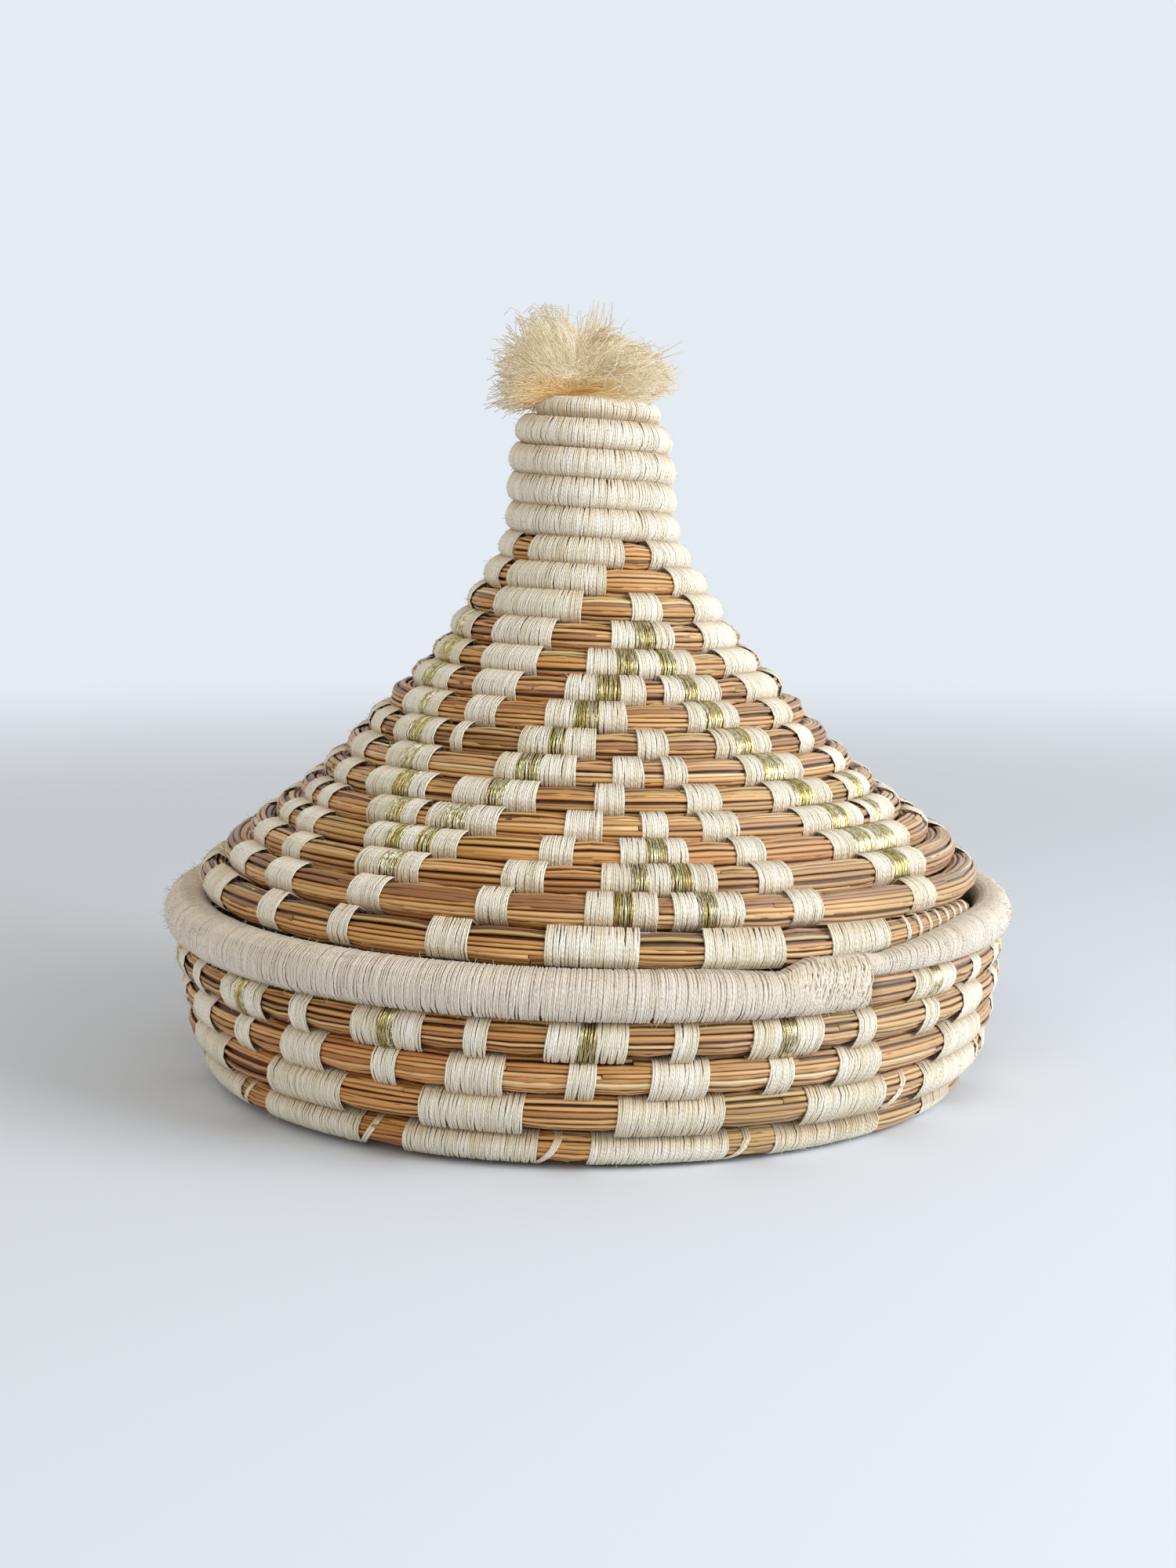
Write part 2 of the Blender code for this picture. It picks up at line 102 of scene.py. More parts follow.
day = bpy.data.worlds.new("day")
day.use_nodes = True
bpy.context.scene.world = day
day_tree = day.node_tree
day_light = day_tree.nodes["Background"]
day_light.inputs["Color"].default_value = day_colour
day_light.inputs["Strength"].default_value = day_strength
seen = add_node(day_tree, "ShaderNodeBackground", {"Color": linear(*backdrop_colour), "Strength": 1.0})
rays = add_node(day_tree, "ShaderNodeLightPath").outputs
sees_backdrop = rays["Is Camera Ray"]
for kind in ("Is Transmission Ray", "Is Glossy Ray"):
    sees_backdrop = add_node(day_tree, "ShaderNodeMath", {0: sees_backdrop, 1: rays[kind]},
                             operation="MAXIMUM").outputs[0]
either = add_node(day_tree, "ShaderNodeMixShader",
                  {0: sees_backdrop, 1: day_light.outputs[0], 2: seen.outputs[0]})
day_tree.links.new(either.outputs[0], day_tree.nodes["World Output"].inputs["Surface"])


def lamp(name, place, watts, size, colour):
    """A square soft lamp at a place, turned towards the basket's middle."""
    data = bpy.data.lights.new(name, "AREA")
    data.energy = watts
    data.size = size
    data.color = colour
    towards = Vector(lit_point) - Vector(place)
    turned = towards.to_track_quat("-Z", "Y").to_matrix().to_4x4()
    in_scene(name, data).matrix_world = Matrix.Translation(place) @ turned


lamp("window", (1.45, -0.75, 0.78), 29.5, 1.1, (0.86, 0.92, 1.0))
lamp("bounce", (-0.5, -1.7, 1.1), 8, 0.9, (1.0, 0.97, 0.93))

table_sides = 96
table_radius = 2.4
table_fade = (0.45, 2.0)
table_colour = (226, 231, 237)


def make_table():
    """A round sheet at the level that the basket stands on. It fades into the pale surroundings."""
    angle = np.linspace(0, math.tau, table_sides, endpoint=False)
    edge = np.stack([np.sin(angle), np.cos(angle), angle * 0], axis=1) * table_radius
    mesh = bpy.data.meshes.new("table")
    mesh.from_pydata(edge.tolist(), [], [list(range(table_sides))[::-1]])
    thing = in_scene("table", mesh)
    look = bpy.data.materials.new("pale_table")
    look.use_nodes = True
    tree = look.node_tree
    tree.nodes.remove(tree.nodes["Principled BSDF"])
    where = add_node(tree, "ShaderNodeTexCoord").outputs["Object"]
    length = add_node(tree, "ShaderNodeVectorMath", {0: where}, operation="LENGTH").outputs["Value"]
    near, far = table_fade
    fade = add_node(tree, "ShaderNodeMapRange", {"Value": length, "From Min": near, "From Max": far},
                    interpolation_type="SMOOTHSTEP").outputs["Result"]
    matt = add_node(tree, "ShaderNodeBsdfDiffuse", {"Color": linear(*table_colour)}).outputs[0]
    clear = add_node(tree, "ShaderNodeBsdfTransparent").outputs[0]
    mixed = add_node(tree, "ShaderNodeMixShader", {0: fade, 1: matt, 2: clear})
    tree.links.new(mixed.outputs[0], tree.nodes["Material Output"].inputs["Surface"])
    mesh.materials.append(look)


make_table()

# The bowl's straw
# One long bundle of reed stems, wound from the middle of the floor outwards and up the wall. The stems
# lie side by side round the bundle, each as long as the plant gives it, and the next one starts there.
floor_radius = 0.146
wall_flare = 0.0193
wall_height = 0.0596
floor_corners = 20
# The wall seen from the side, as shares of its flare and of its height
wall_shares = (
    (0.0, 0.0), (0.383, 0.022), (0.627, 0.257), (0.772, 0.492), (0.876, 0.73), (1.0, 1.0), (1.05, 1.25),
)
bowl_row = 0.0132
bowl_start_radius = 0.0114
drawn_in_share = 0.045
drawn_in_angle = 90.0
thin_row_share = 0.8
thin_row_turn = 0.6
rim_roll = 0.0174
rim_join_angle = 36.0
row_gap = 0.0009
bulge_share = 1.06
bend_relief_share = 0.22
bend_room_share = 0.12
corner_points = 40
fine_steps = 2000
samples_per_turn = 240


def lengths_to(points):
    """How far along a line of points each of them lies."""
    return np.concatenate([[0], np.cumsum(np.linalg.norm(np.diff(points, axis=0), axis=1))])


def unit(vectors):
    """The same directions with a length of 1."""
    return vectors / np.linalg.norm(vectors, axis=-1, keepdims=True)


def smooth_line(corners, lowest):
    """A smooth line through (out, up) corners, kept above the lowest, with the distance along it.

    Each span is a cubic, and its slope at a corner is half the way from the corner before to the one after.
    """
    ends = [2 * corners[0] - corners[1], *corners, 2 * corners[-1] - corners[-2]]
    share = np.linspace(0, 1, corner_points, endpoint=False)[:, None]
    pieces = []
    for before, start, end, after in zip(ends, ends[1:], ends[2:], ends[3:]):
        bend = 2 * before - 5 * start + 4 * end - after
        twist = 3 * start - 3 * end + after - before
        pieces.append((2 * start + (end - before) * share + bend * share**2 + twist * share**3) / 2)
    line = np.concatenate([*pieces, [corners[-1]]])
    line[:, 1] = np.maximum(line[:, 1], lowest)
    return line, lengths_to(line)


def line_at(side, where):
    """The point and the direction of a smooth line at the given distances along it."""
    line, along = side
    step = along[-1] / len(along)

    def point(distance):
        """The line's point at one distance, between the two that it has on either side."""
        return np.stack([np.interp(distance, along, part) for part in line.T], axis=-1)

    held = np.minimum(where, along[-1] - step)
    return point(where), unit(point(held + step) - point(held - step))


def bend_at(side, where, reach):
    """How much a line bends across a row: the sine of the angle that it turns through there."""
    _, before = line_at(side, where - reach)
    _, after = line_at(side, where + reach)
    return np.abs(before[..., 0] * after[..., 1] - before[..., 1] * after[..., 0])


def wound(side, start, end, thickness_of):
    """Thin steps along a line, how thick a row is at each, and how many turns are wound up to it.

    A turn takes up the row's thickness and the gap, and a little more where the line bends.
    """
    steps = np.linspace(start, end, fine_steps)
    thickness = thickness_of(steps)
    room = (thickness + row_gap) * (1 + bend_room_share * bend_at(side, steps, thickness / 2))
    turns = np.concatenate([[0], np.cumsum(np.diff(steps) / room[1:])])
    return steps, thickness, turns


def ease(value, start, end):
    """Goes smoothly from 0 at start to 1 at end."""
    share = np.clip((value - start) / (end - start), 0, 1)
    return share * share * (3 - 2 * share)


bowl_half = bowl_row / 2
floor_level = bowl_half * bulge_share
bowl_corners = [np.array([out, floor_level])
                for out in np.linspace(0, floor_radius, floor_corners, endpoint=False)]
bowl_corners += [np.array([floor_radius + wall_flare * out, floor_level + wall_height * up])
                 for out, up in wall_shares]
bowl_side = smooth_line(bowl_corners, floor_level)
bowl_along = bowl_side[1]
bowl_pitch = bowl_row + row_gap
rim_half = rim_roll / 2
rim_along = float(bowl_along[-1 - corner_points])
front_row_along = rim_along - rim_half - row_gap - bowl_half
bowl_steps, _, bowl_turns_along = wound(
    bowl_side, bowl_start_radius, bowl_along[-1], lambda steps: np.full(len(steps), bowl_row))
turns_to_front = float(np.interp(front_row_along, bowl_steps, bowl_turns_along))
bowl_end_turn = turns_to_front + 1 - rim_join_angle / 360


def bowl_angle(turn):
    """The bowl winds clockwise seen from above, and its reed rows end at the join."""
    return rim_join_angle + 360 * (bowl_end_turn - turn)


def bowl_row_at(turn):
    """Distance along the bowl's line, and half the thickness: drawn in on the right, thin at the end."""
    along = np.interp(turn, bowl_turns_along, bowl_steps)
    side = np.cos(np.radians(bowl_angle(turn) - drawn_in_angle)) / 2 + 0.5
    on_wall = ease(along, floor_radius - bowl_pitch, floor_radius + bowl_pitch)
    tight = 1 - drawn_in_share * side * side * on_wall
    above = np.maximum(along - floor_radius, 0)
    thinner = (1 - thin_row_share) * ease(turn, bowl_end_turn - thin_row_turn, bowl_end_turn)
    half = bowl_half * tight * (1 - thinner)
    return along - above * (1 - tight) - bowl_half * tight * thinner, half


ring_length = 0.0105
rings_per_turn = 36


def coil_of(turns, along, half, side, angles, outward, rise=0.0):
    """A wound bundle as arrays over its turns.

    They hold the middle line, the direction in which the rows follow each other, the outward normal,
    the half thickness with half the gap to the next row, the angle round the basket, the length wound
    so far, and a count of rings: one for each ring_length, and no fewer than rings_per_turn.
    """
    middle, ahead = line_at(side, along)
    reach = (half + row_gap / 2) * (1 - bend_relief_share * bend_at(side, along, half))
    step = np.diff(turns)
    round_here = math.tau * (middle[1:, 0] + middle[:-1, 0]) / 2
    run = np.concatenate([[0], np.cumsum(step * round_here)])
    rings = np.concatenate([[0], np.cumsum(step * np.maximum(round_here / ring_length, rings_per_turn))])
    return {"turn": turns, "radius": middle[:, 0], "height": middle[:, 1] + rise, "ahead_out": ahead[:, 0],
            "ahead_up": ahead[:, 1], "reach": reach, "angle": np.radians(angles), "run": run,
            "rings": rings, "outward": outward}


def at(coil, name, where, known="turn"):
    """One of a coil's arrays, read between its samples where another one, the turn if unsaid, is known."""
    return np.interp(where, coil[known], coil[name])


def in_row(coil, turn, out, ahead):
    """Points of a bundle's section: so far out of the wall, and so far ahead towards the next row.

    Both are shares of the half thickness, and the section bulges a little outwards.
    """
    reach = at(coil, "reach", turn)
    ahead_out, ahead_up = at(coil, "ahead_out", turn), at(coil, "ahead_up", turn)
    out = out * reach * bulge_share * coil["outward"]
    ahead = ahead * reach
    radius = at(coil, "radius", turn) + out * ahead_up + ahead * ahead_out
    height = at(coil, "height", turn) - out * ahead_out + ahead * ahead_up
    angle = at(coil, "angle", turn)
    return np.stack([radius * np.sin(angle), -radius * np.cos(angle), height], axis=-1)


def tube_mesh(name, rings, closed, look, grain, counts=None, **shares):
    """Quads between each ring of points and the next one of the same tube.

    rings holds every tube's rings one after the other: tubes of equal length in an array of their own
    axis, or else counts says how many rings each tube has. A closed tube's last ring meets its first,
    and an open one has a flat cap on both ends. Going round a ring turns right-handed about the way
    the tube goes, so the faces look outwards. The shares are written on the points, and so is the
    grain: a place across the strand, one along it, and one that tells strands apart.
    """
    shape = rings.shape[:-1]
    sides = shape[-1]
    if counts is None:
        counts = np.full(shape[0], shape[1])
    total = int(np.sum(counts))
    last = np.cumsum(counts) - 1
    first = last - counts + 1
    following = np.arange(total) + 1
    following[last] = first
    kept = np.ones(total, bool)
    kept[last] = closed
    low = (np.arange(total) * sides)[kept][:, None]
    high = (following * sides)[kept][:, None]
    side = np.arange(sides)[None, :]
    after = (side + 1) % sides
    quads = np.stack([low + side, low + after, high + after, high + side], axis=-1).reshape(-1, 4)
    corners = [quads.ravel()]
    starts = [np.arange(len(quads)) * 4]
    if not closed:
        caps = np.concatenate([first[:, None] * sides + side[:, ::-1], last[:, None] * sides + side])
        corners.append(caps.ravel())
        starts.append(len(quads) * 4 + np.arange(len(caps)) * sides)
    corners, starts = np.concatenate(corners), np.concatenate(starts)
    mesh = bpy.data.meshes.new(name)
    mesh.vertices.add(total * sides)
    mesh.vertices.foreach_set("co", rings.astype(np.float32).ravel())
    mesh.loops.add(len(corners))
    mesh.loops.foreach_set("vertex_index", corners.astype(np.int32))
    mesh.polygons.add(len(starts))
    mesh.polygons.foreach_set("loop_start", starts.astype(np.int32))
    for key, share in shares.items():
        layer = mesh.attributes.new(key, "FLOAT", "POINT")
        layer.data.foreach_set("value", np.broadcast_to(share, shape).astype(np.float32).ravel())
    grain = np.stack([np.broadcast_to(part, shape) for part in grain], axis=-1)
    layer = mesh.attributes.new("grain", "FLOAT_VECTOR", "POINT")
    layer.data.foreach_set("vector", grain.astype(np.float32).ravel())
    mesh.update(calc_edges=True)
    mesh.shade_smooth()
    mesh.materials.append(look)
    return in_scene(name, mesh)


def ramp(tree, value, stops, interpolation="LINEAR"):
    """Colours along a value from 0 to 1. Each stop has its place and its colour as the eye sees it."""
    made = add_node(tree, "ShaderNodeValToRGB", {"Fac": value})
    band = made.color_ramp
    band.interpolation = interpolation
    while len(band.elements) < len(stops):
        band.elements.new(1.0)
    for element, (where, colour) in zip(band.elements, stops):
        element.position = where
        element.color = linear(*colour)
    return made.outputs["Color"]


def mix_colours(tree, share, first, second, blend_type="MIX"):
    """Two colours mixed by a share."""
    made = add_node(tree, "ShaderNodeMix", {0: share, 6: first, 7: second}, data_type="RGBA",
                    blend_type=blend_type)
    return made.outputs[2]


def noise_on(tree, vector, scales, detail=2.0, roughness=0.5):
    """Noise over a vector, stretched by a scale each way."""
    stretched = add_node(tree, "ShaderNodeMapping", {"Vector": vector, "Scale": scales})
    made = add_node(tree, "ShaderNodeTexNoise", {"Vector": stretched.outputs[0], "Scale": 1.0,
                                                 "Detail": detail, "Roughness": roughness})
    return made.outputs["Fac"]


def spread_out(tree, value, low, high, to_low=0.0, to_high=1.0):
    """A value's range moved to another one."""
    made = add_node(tree, "ShaderNodeMapRange", {"Value": value, "From Min": low, "From Max": high,
                                                 "To Min": to_low, "To Max": to_high})
    return made.outputs["Result"]


def tinted(tree, colour, value, low, high, share, tint):
    """A colour that takes on a tint by up to a share, as a value goes from low to high."""
    return mix_colours(tree, spread_out(tree, value, low, high, 0.0, share), colour, linear(*tint))


def new_look(name, constants):
    """A material, its nodes and its shader, with the numbers that are the same all over the surface."""
    look = bpy.data.materials.new(name)
    look.use_nodes = True
    shader = look.node_tree.nodes["Principled BSDF"]
    for socket, value in constants.items():
        shader.inputs[socket].default_value = value
    return look, look.node_tree, shader


def written(tree, name, output="Fac"):
    """What a mesh has written on its points under a name."""
    return add_node(tree, "ShaderNodeAttribute", attribute_name=name).outputs[output]


def relief(tree, shader, height, strength, distance):
    """Bumps as high as the distance in metres where the height is 1."""
    bump = add_node(tree, "ShaderNodeBump", {"Height": height, "Strength": strength, "Distance": distance})
    tree.links.new(bump.outputs[0], shader.inputs["Normal"])


# A stem's own tint, by chance, and the tones of the harvests that follow each other along the bundle
straw_tints = (
    (0.0, (228, 178, 114)), (0.2, (214, 160, 94)), (0.4, (198, 144, 82)), (0.55, (234, 194, 136)),
    (0.65, (180, 130, 78)), (0.74, (240, 214, 168)), (0.8, (200, 170, 108)), (0.86, (216, 168, 122)),
    # The darkest stop is the core's painted shade, and the own dark tone of a few stems.
    (0.93, (158, 110, 66)), (0.985, (88, 56, 34)),
)
straw_harvests = (
    (0.36, (212, 214, 172)), (0.48, (246, 240, 226)), (0.56, (242, 230, 212)), (0.66, (228, 196, 160)),
)
straw_line, straw_spot = (146, 94, 50), (142, 96, 56)
# Painted shade between the stems, and painted light on the basket's lit right side
straw_crevice_shade, straw_painted_light = (74, 44, 22), (222, 208, 186)
# How fine the noises are, per metre: twice across the stem and once along it
straw_line_scales, straw_spot_scales, harvest_scales = (3000, 3000, 22), (260, 260, 26), (0, 0, 5)


def straw_look():
    """Glossy dry reed: each stem has its own tint, with fine lines along it and darker weathered spots.

    Stems of one harvest follow each other in the bundle, some greener and some redder. Painted shade
    darkens a stem where it meets the next one, and painted light makes the straw paler on the right, where
    the light falls.
    """
    look, tree, shader = new_look("reed", {"Specular IOR Level": 0.42})
    grain = written(tree, "grain", "Vector")
    lines = noise_on(tree, grain, straw_line_scales, 3.0, 0.6)
    spots = noise_on(tree, grain, straw_spot_scales, 2.0, 0.6)
    harvests = ramp(tree, noise_on(tree, grain, harvest_scales, 1.0), straw_harvests)
    place = add_node(tree, "ShaderNodeTexCoord").outputs["Object"]
    towards_light = add_node(tree, "ShaderNodeSeparateXYZ", {0: place}).outputs["X"]
    colour = ramp(tree, written(tree, "tint"), straw_tints, "CONSTANT")
    colour = mix_colours(tree, 0.85, colour, harvests, "MULTIPLY")
    colour = tinted(tree, colour, lines, 0.45, 0.75, 0.4, straw_line)
    colour = tinted(tree, colour, spots, 0.56, 0.76, 0.4, straw_spot)
    # Painted shade: each stem darkens towards its sides, where it meets the next one.
    colour = tinted(tree, colour, written(tree, "side"), 0.54, 0.94, 0.8, straw_crevice_shade)
    # Painted light: the straw is paler towards +X, the side where the lamp light falls.
    colour = tinted(tree, colour, towards_light, -0.02, 0.17, 0.3, straw_painted_light)
    tree.links.new(colour, shader.inputs["Base Color"])
    tree.links.new(spread_out(tree, spots, 0.3, 0.7, 0.34, 0.5), shader.inputs["Roughness"])
    relief(tree, shader, lines, 0.5, 0.00025)
    return look


reed = straw_look()

stem_sides = 5
stem_lengths = (0.2, 0.48)
first_stem_share = (0.2, 1)
stem_widths = (0.00125, 0.002)
stem_place = 0.83
stem_places_vary = (-0.035, 0.03)
stem_flat = 0.8
stem_wide = 1.24
stem_thickest_share = 0.17
stem_drift = 0.1
drift_lengths = (0.11, 0.037)
dip = 0.012
dip_length = 0.02
crossing_share = 0.2
crossing_from, crossing_to = 0.2, 0.8
crossing_rise = 0.02
stem_grain_shift = 3
core_share = 0.79
# Painted shade: the core takes the darkest straw tint, for the shade deep inside the bundle.
core_shade_tint = 0.995
loose_swell = 1.07
tied_in = 0.17
tied_beyond = 0.0012
cover_samples = 900
cover_blur = 4
cut_gap = 0.0004


def cover_of(coil, blocks):
    """How far the bundle is tied in along the coil: 1 under a stitch, easing off beside it."""
    first, last = coil["turn"][[0, -1]]
    turn = np.linspace(first, last, int((last - first) * cover_samples) + 2)
    beyond = tied_beyond / (math.tau * at(coil, "radius", turn))
    tied = np.zeros(len(turn))
    for _, start, end, _ in blocks:
        tied[(turn >= start - beyond) & (turn <= end + beyond)] = 1
    width = np.arange(-cover_blur, cover_blur + 1)
    kernel = np.exp(-width * width / (2 * cover_blur))
    return turn, np.convolve(tied, kernel / kernel.sum(), "same")


def straw_tubes(name, coil, start, end, slots, cover, seed):
    """Stems side by side round the section, from start to end along the coil, over a dark core of painted
    shade.

    A stem is a flattened tube. Its place round the section drifts slowly, a few cross over to the next
    place, and each is cut off at its own length, where the next one starts. The whole bundle is pulled
    in under the stitches and swells between them.
    """
    draw = np.random.default_rng(seed)
    run_start, run_end = at(coil, "run", start), at(coil, "run", end)
    stems = [(-1, run_start, run_end)]
    for slot in range(slots):
        here = run_start
        while here < run_end:
            length = draw.uniform(*stem_lengths)
            if here == run_start:
                length *= draw.uniform(*first_stem_share)
            stems.append((slot, here, min(here + length, run_end)))
            here += length + cut_gap
    slot, begin, finish = (np.array(column, float) for column in zip(*stems))
    number = len(stems)
    first_ring, last_ring = at(coil, "rings", begin, "run"), at(coil, "rings", finish, "run")
    counts = np.maximum(np.ceil(last_ring - first_ring).astype(int) + 1, 2)
    stem = np.repeat(np.arange(number), counts)
    place = np.arange(len(stem)) - np.repeat(np.cumsum(counts) - counts, counts)
    share = place / (counts - 1)[stem]
    turn = at(coil, "turn", first_ring[stem] + share * (last_ring - first_ring)[stem], "rings")
    run, reach = at(coil, "run", turn), at(coil, "reach", turn)
    pull = (loose_swell - tied_in * np.interp(turn, *cover))[:, None]

    width = draw.uniform(*stem_widths, number)
    wave = draw.uniform(0, math.tau, (2, number))
    slow, quick = (run / length + phase[stem] for length, phase in zip(drift_lengths, wave))
    crossing = np.where(draw.random(number) < crossing_share, draw.choice((-1.0, 1.0), number), 0)
    angle = math.tau * (slot[stem] + 0.5) / slots
    angle += stem_drift * np.sin(slow) + stem_drift * np.sin(quick) / 3
    angle += crossing[stem] * (ease(share, crossing_from, crossing_to) - 0.5) * math.tau / slots
    depth = stem_place + draw.uniform(*stem_places_vary, number)[stem]
    depth = depth + dip * np.sin(run / dip_length + wave[1][stem]) + crossing_rise * np.abs(crossing)[stem]
    size = np.minimum(width[stem] / 2 / reach, stem_thickest_share)
    core = (slot < 0)[stem]
    depth, size, flat, wide = (np.where(core, of_core, of_stem)[:, None] for of_core, of_stem in (
        (0, depth), (core_share, size), (1, stem_flat), (1, stem_wide)))

    corner = math.tau * np.arange(stem_sides) / stem_sides
    out_own = size * flat * np.cos(corner)
    side_own = size * wide * np.sin(corner)
    cosine, sine = np.cos(angle)[:, None], np.sin(angle)[:, None]
    out = ((depth + out_own) * cosine - side_own * sine) * pull
    ahead = ((depth + out_own) * sine + side_own * cosine) * pull
    tint = np.where(slot < 0, core_shade_tint, draw.random(number))
    shift = draw.uniform(0, stem_grain_shift, number)
    reach = reach[:, None]
    grain = (out_own * reach + shift[stem][:, None], side_own * reach, run[:, None])
    return tube_mesh(name, in_row(coil, turn[:, None], out, ahead), False, reed, grain, counts,
                     tint=tint[stem][:, None], side=np.abs(np.sin(corner)))


bowl_turns = np.linspace(0, bowl_end_turn, int(bowl_end_turn * samples_per_turn))
bowl_coil = coil_of(bowl_turns, *bowl_row_at(bowl_turns), bowl_side, bowl_angle(bowl_turns), 1)

# The bowl's stitches are charted before the straw is laid, because they pull it in. Each run is an angle,
# then a kind of yarn and the angle up to which it goes: c is cream wool and g is gold thread.
bowl_repeat = 24.0
bowl_repeats = 15
bowl_chart = (
    "-5 c -1.4 g 0.7 c 4.3, 9.5 c 12.3",
    "-2.6 c 0.7, 7.1 c 13.9",
    "3.2 c 16.1",
    "-0.1 c 17.4",
)
uneven_spacing = 2.0
bowl_role_angle = 42.0
slanted_angle = 18.7
slanted_turn = 0.0013
slanted_lean = 0.0042
floor_chart = ("4 c 14", "6 c 14", "8 c 14.5", "10 c 16", "2 c 9", "1 c 10")
floor_middle_turn = 2.0
floor_middle_gap = 0.03
bowl_stems = 22


def runs_of(text):
    """The stitches of one line of the chart, as (kind, from, up to) in degrees."""
    found = []
    for run in text.split(","):
        words = run.split()
        angles = [float(word) for word in words[0::2]]
        found += list(zip(words[1::2], angles, angles[1:]))
    return found


def of_rows(blocks, rows):
    """The blocks that lie in some of the rows."""
    return [block for block in blocks if block[3] in rows]


def bowl_turn_at(row, angle):
    """The turn of the bowl's coil that passes an angle in a row, counted down from the rim."""
    return bowl_end_turn - 1 - row + (rim_join_angle - angle) / 360


def bowl_blocks():
    """Where on the bowl's coil each stitched block lies: (kind, from turn, to turn, row from the top)."""
    found = []
    rows = int(bowl_end_turn) + 1
    for row in range(rows):
        below = row - len(bowl_chart)
        line = bowl_chart[row] if below < 0 else floor_chart[below % len(floor_chart)]
        for repeat in range(bowl_repeats):
            for kind, low, high in runs_of(line):
                low, high = low + bowl_repeat * repeat, high + bowl_repeat * repeat
                if (low + high) / 2 > bowl_role_angle:
                    low, high = low - 360, high - 360
                low, high = (angle + uneven_spacing * math.sin(math.radians(angle))
                             for angle in (low, high))
                start, end = bowl_turn_at(row, high), bowl_turn_at(row, low)
                if start > floor_middle_turn and end < bowl_end_turn:
                    found.append((kind, start, end, row))
    found.append(("c", 0.0, floor_middle_turn - floor_middle_gap, rows))
    return found


def slanted_on_bowl():
    """In the lowest charted row, one narrow slanting block for each repeat."""
    places = (slanted_angle + bowl_repeat * np.arange(bowl_repeats) + 180) % 360 - 180
    places += uneven_spacing * np.sin(np.radians(places))
    row = len(bowl_chart) - 1
    turns = bowl_turn_at(row, np.where(places > bowl_role_angle, places - 360, places))
    return [("c", turn - slanted_turn, turn + slanted_turn, row) for turn in turns]


blocks_on_bowl = bowl_blocks()
slanted_blocks = slanted_on_bowl()
bowl_cover = cover_of(bowl_coil, blocks_on_bowl + slanted_blocks)
# The straw is made as two pieces, which meet under a stitch at the back of the floor's last row.
_, low_turn, high_turn, _ = min(of_rows(blocks_on_bowl, [len(bowl_chart)]),
                                key=lambda block: math.cos(math.radians(bowl_angle(block[1]))))
meeting_turn = (low_turn + high_turn) / 2
bowl_straw_pieces = (
    ("bowl_wall_straw", meeting_turn, bowl_end_turn, 11), ("bowl_floor_straw", 0.0, meeting_turn, 12),
)
for name, first_turn, last_turn, seed in bowl_straw_pieces:
    bowl_straw = straw_tubes(name, bowl_coil, first_turn, last_turn, bowl_stems, bowl_cover, seed)
    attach(bowl_straw, "base")
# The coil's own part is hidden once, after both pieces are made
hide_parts("bowl_coil")

# The bowl's stitches
# Wool yarn goes round the bundle strand by strand and bites into the row before, in bunches of three or
# four. Some blocks have a band of thin gold thread in them.
# A strand's path round the bundle: out of the wall and back towards the row before, in half thicknesses
wrap_path = np.array((
    (0.35, -0.95), (0.86, -0.56), (1.01, 0.0), (0.94, 0.44), (0.8, 0.82), (0.6, 1.16), (-0.5, 1.16),
    (-0.87, 0.62), (-1.01, -0.03), (-0.82, -0.64), (-0.35, -0.95),
))
gather_shares = np.array((0, 0, 0, 0.02, 0.08, 0.24, 0.3, 0.15, 0, 0, 0))
gather_thinning = 0.15
wool_pitch = 0.00068
floor_wool_pitch = 0.00094
wool_height = 0.00033
gold_pitch = 0.0006
gold_height = 0.00055
bunch_sizes = (3, 6)
strand_half_share = 0.62
strand_heights_vary = (0.8, 1.25)
strand_strays = 0.00007
strand_leans = 0.00016
strand_swells = 0.007
block_tints_vary = 0.16
bunch_tints_vary = 0.1
cream_mottled, gold_mottled = 0.36, 0.55
grain_shift = 9
bite_from, bite_to = 0.5, 1.0
bite_depths = (0.4, 1)
edge_places = (0.0, 0.5, 1.0)
tied_place = 0.95
padding_sides = 14
padding_share = 0.92
# Painted shade: the padding is darker and yellower, as the shade in the gaps between strands.
padding_shade_tint, padding_groove_share = 0.2, 0.5


def strands_in(coil, blocks, pitch, draw):
    """Strands side by side along each block: their turns, their bunches' middles, and their tints."""
    turns, bunches, tints = [], [], []
    for _, start, end, _ in blocks:
        low, high = at(coil, "run", start), at(coil, "run", end)
        count = max(1, round((high - low) / pitch))
        turn = at(coil, "turn", low + (high - low) * (np.arange(count) + 0.5) / count, "run")
        bunch = np.repeat(np.arange(count), draw.integers(*bunch_sizes, count))[:count]
        middle = np.bincount(bunch, turn) / np.bincount(bunch)
        turns.append(turn)
        bunches.append(middle[bunch])
        tints.append(draw.uniform(-block_tints_vary, block_tints_vary)
                     + draw.uniform(-bunch_tints_vary, bunch_tints_vary, count)[bunch])
    return np.concatenate(turns), np.concatenate(bunches), np.concatenate(tints)


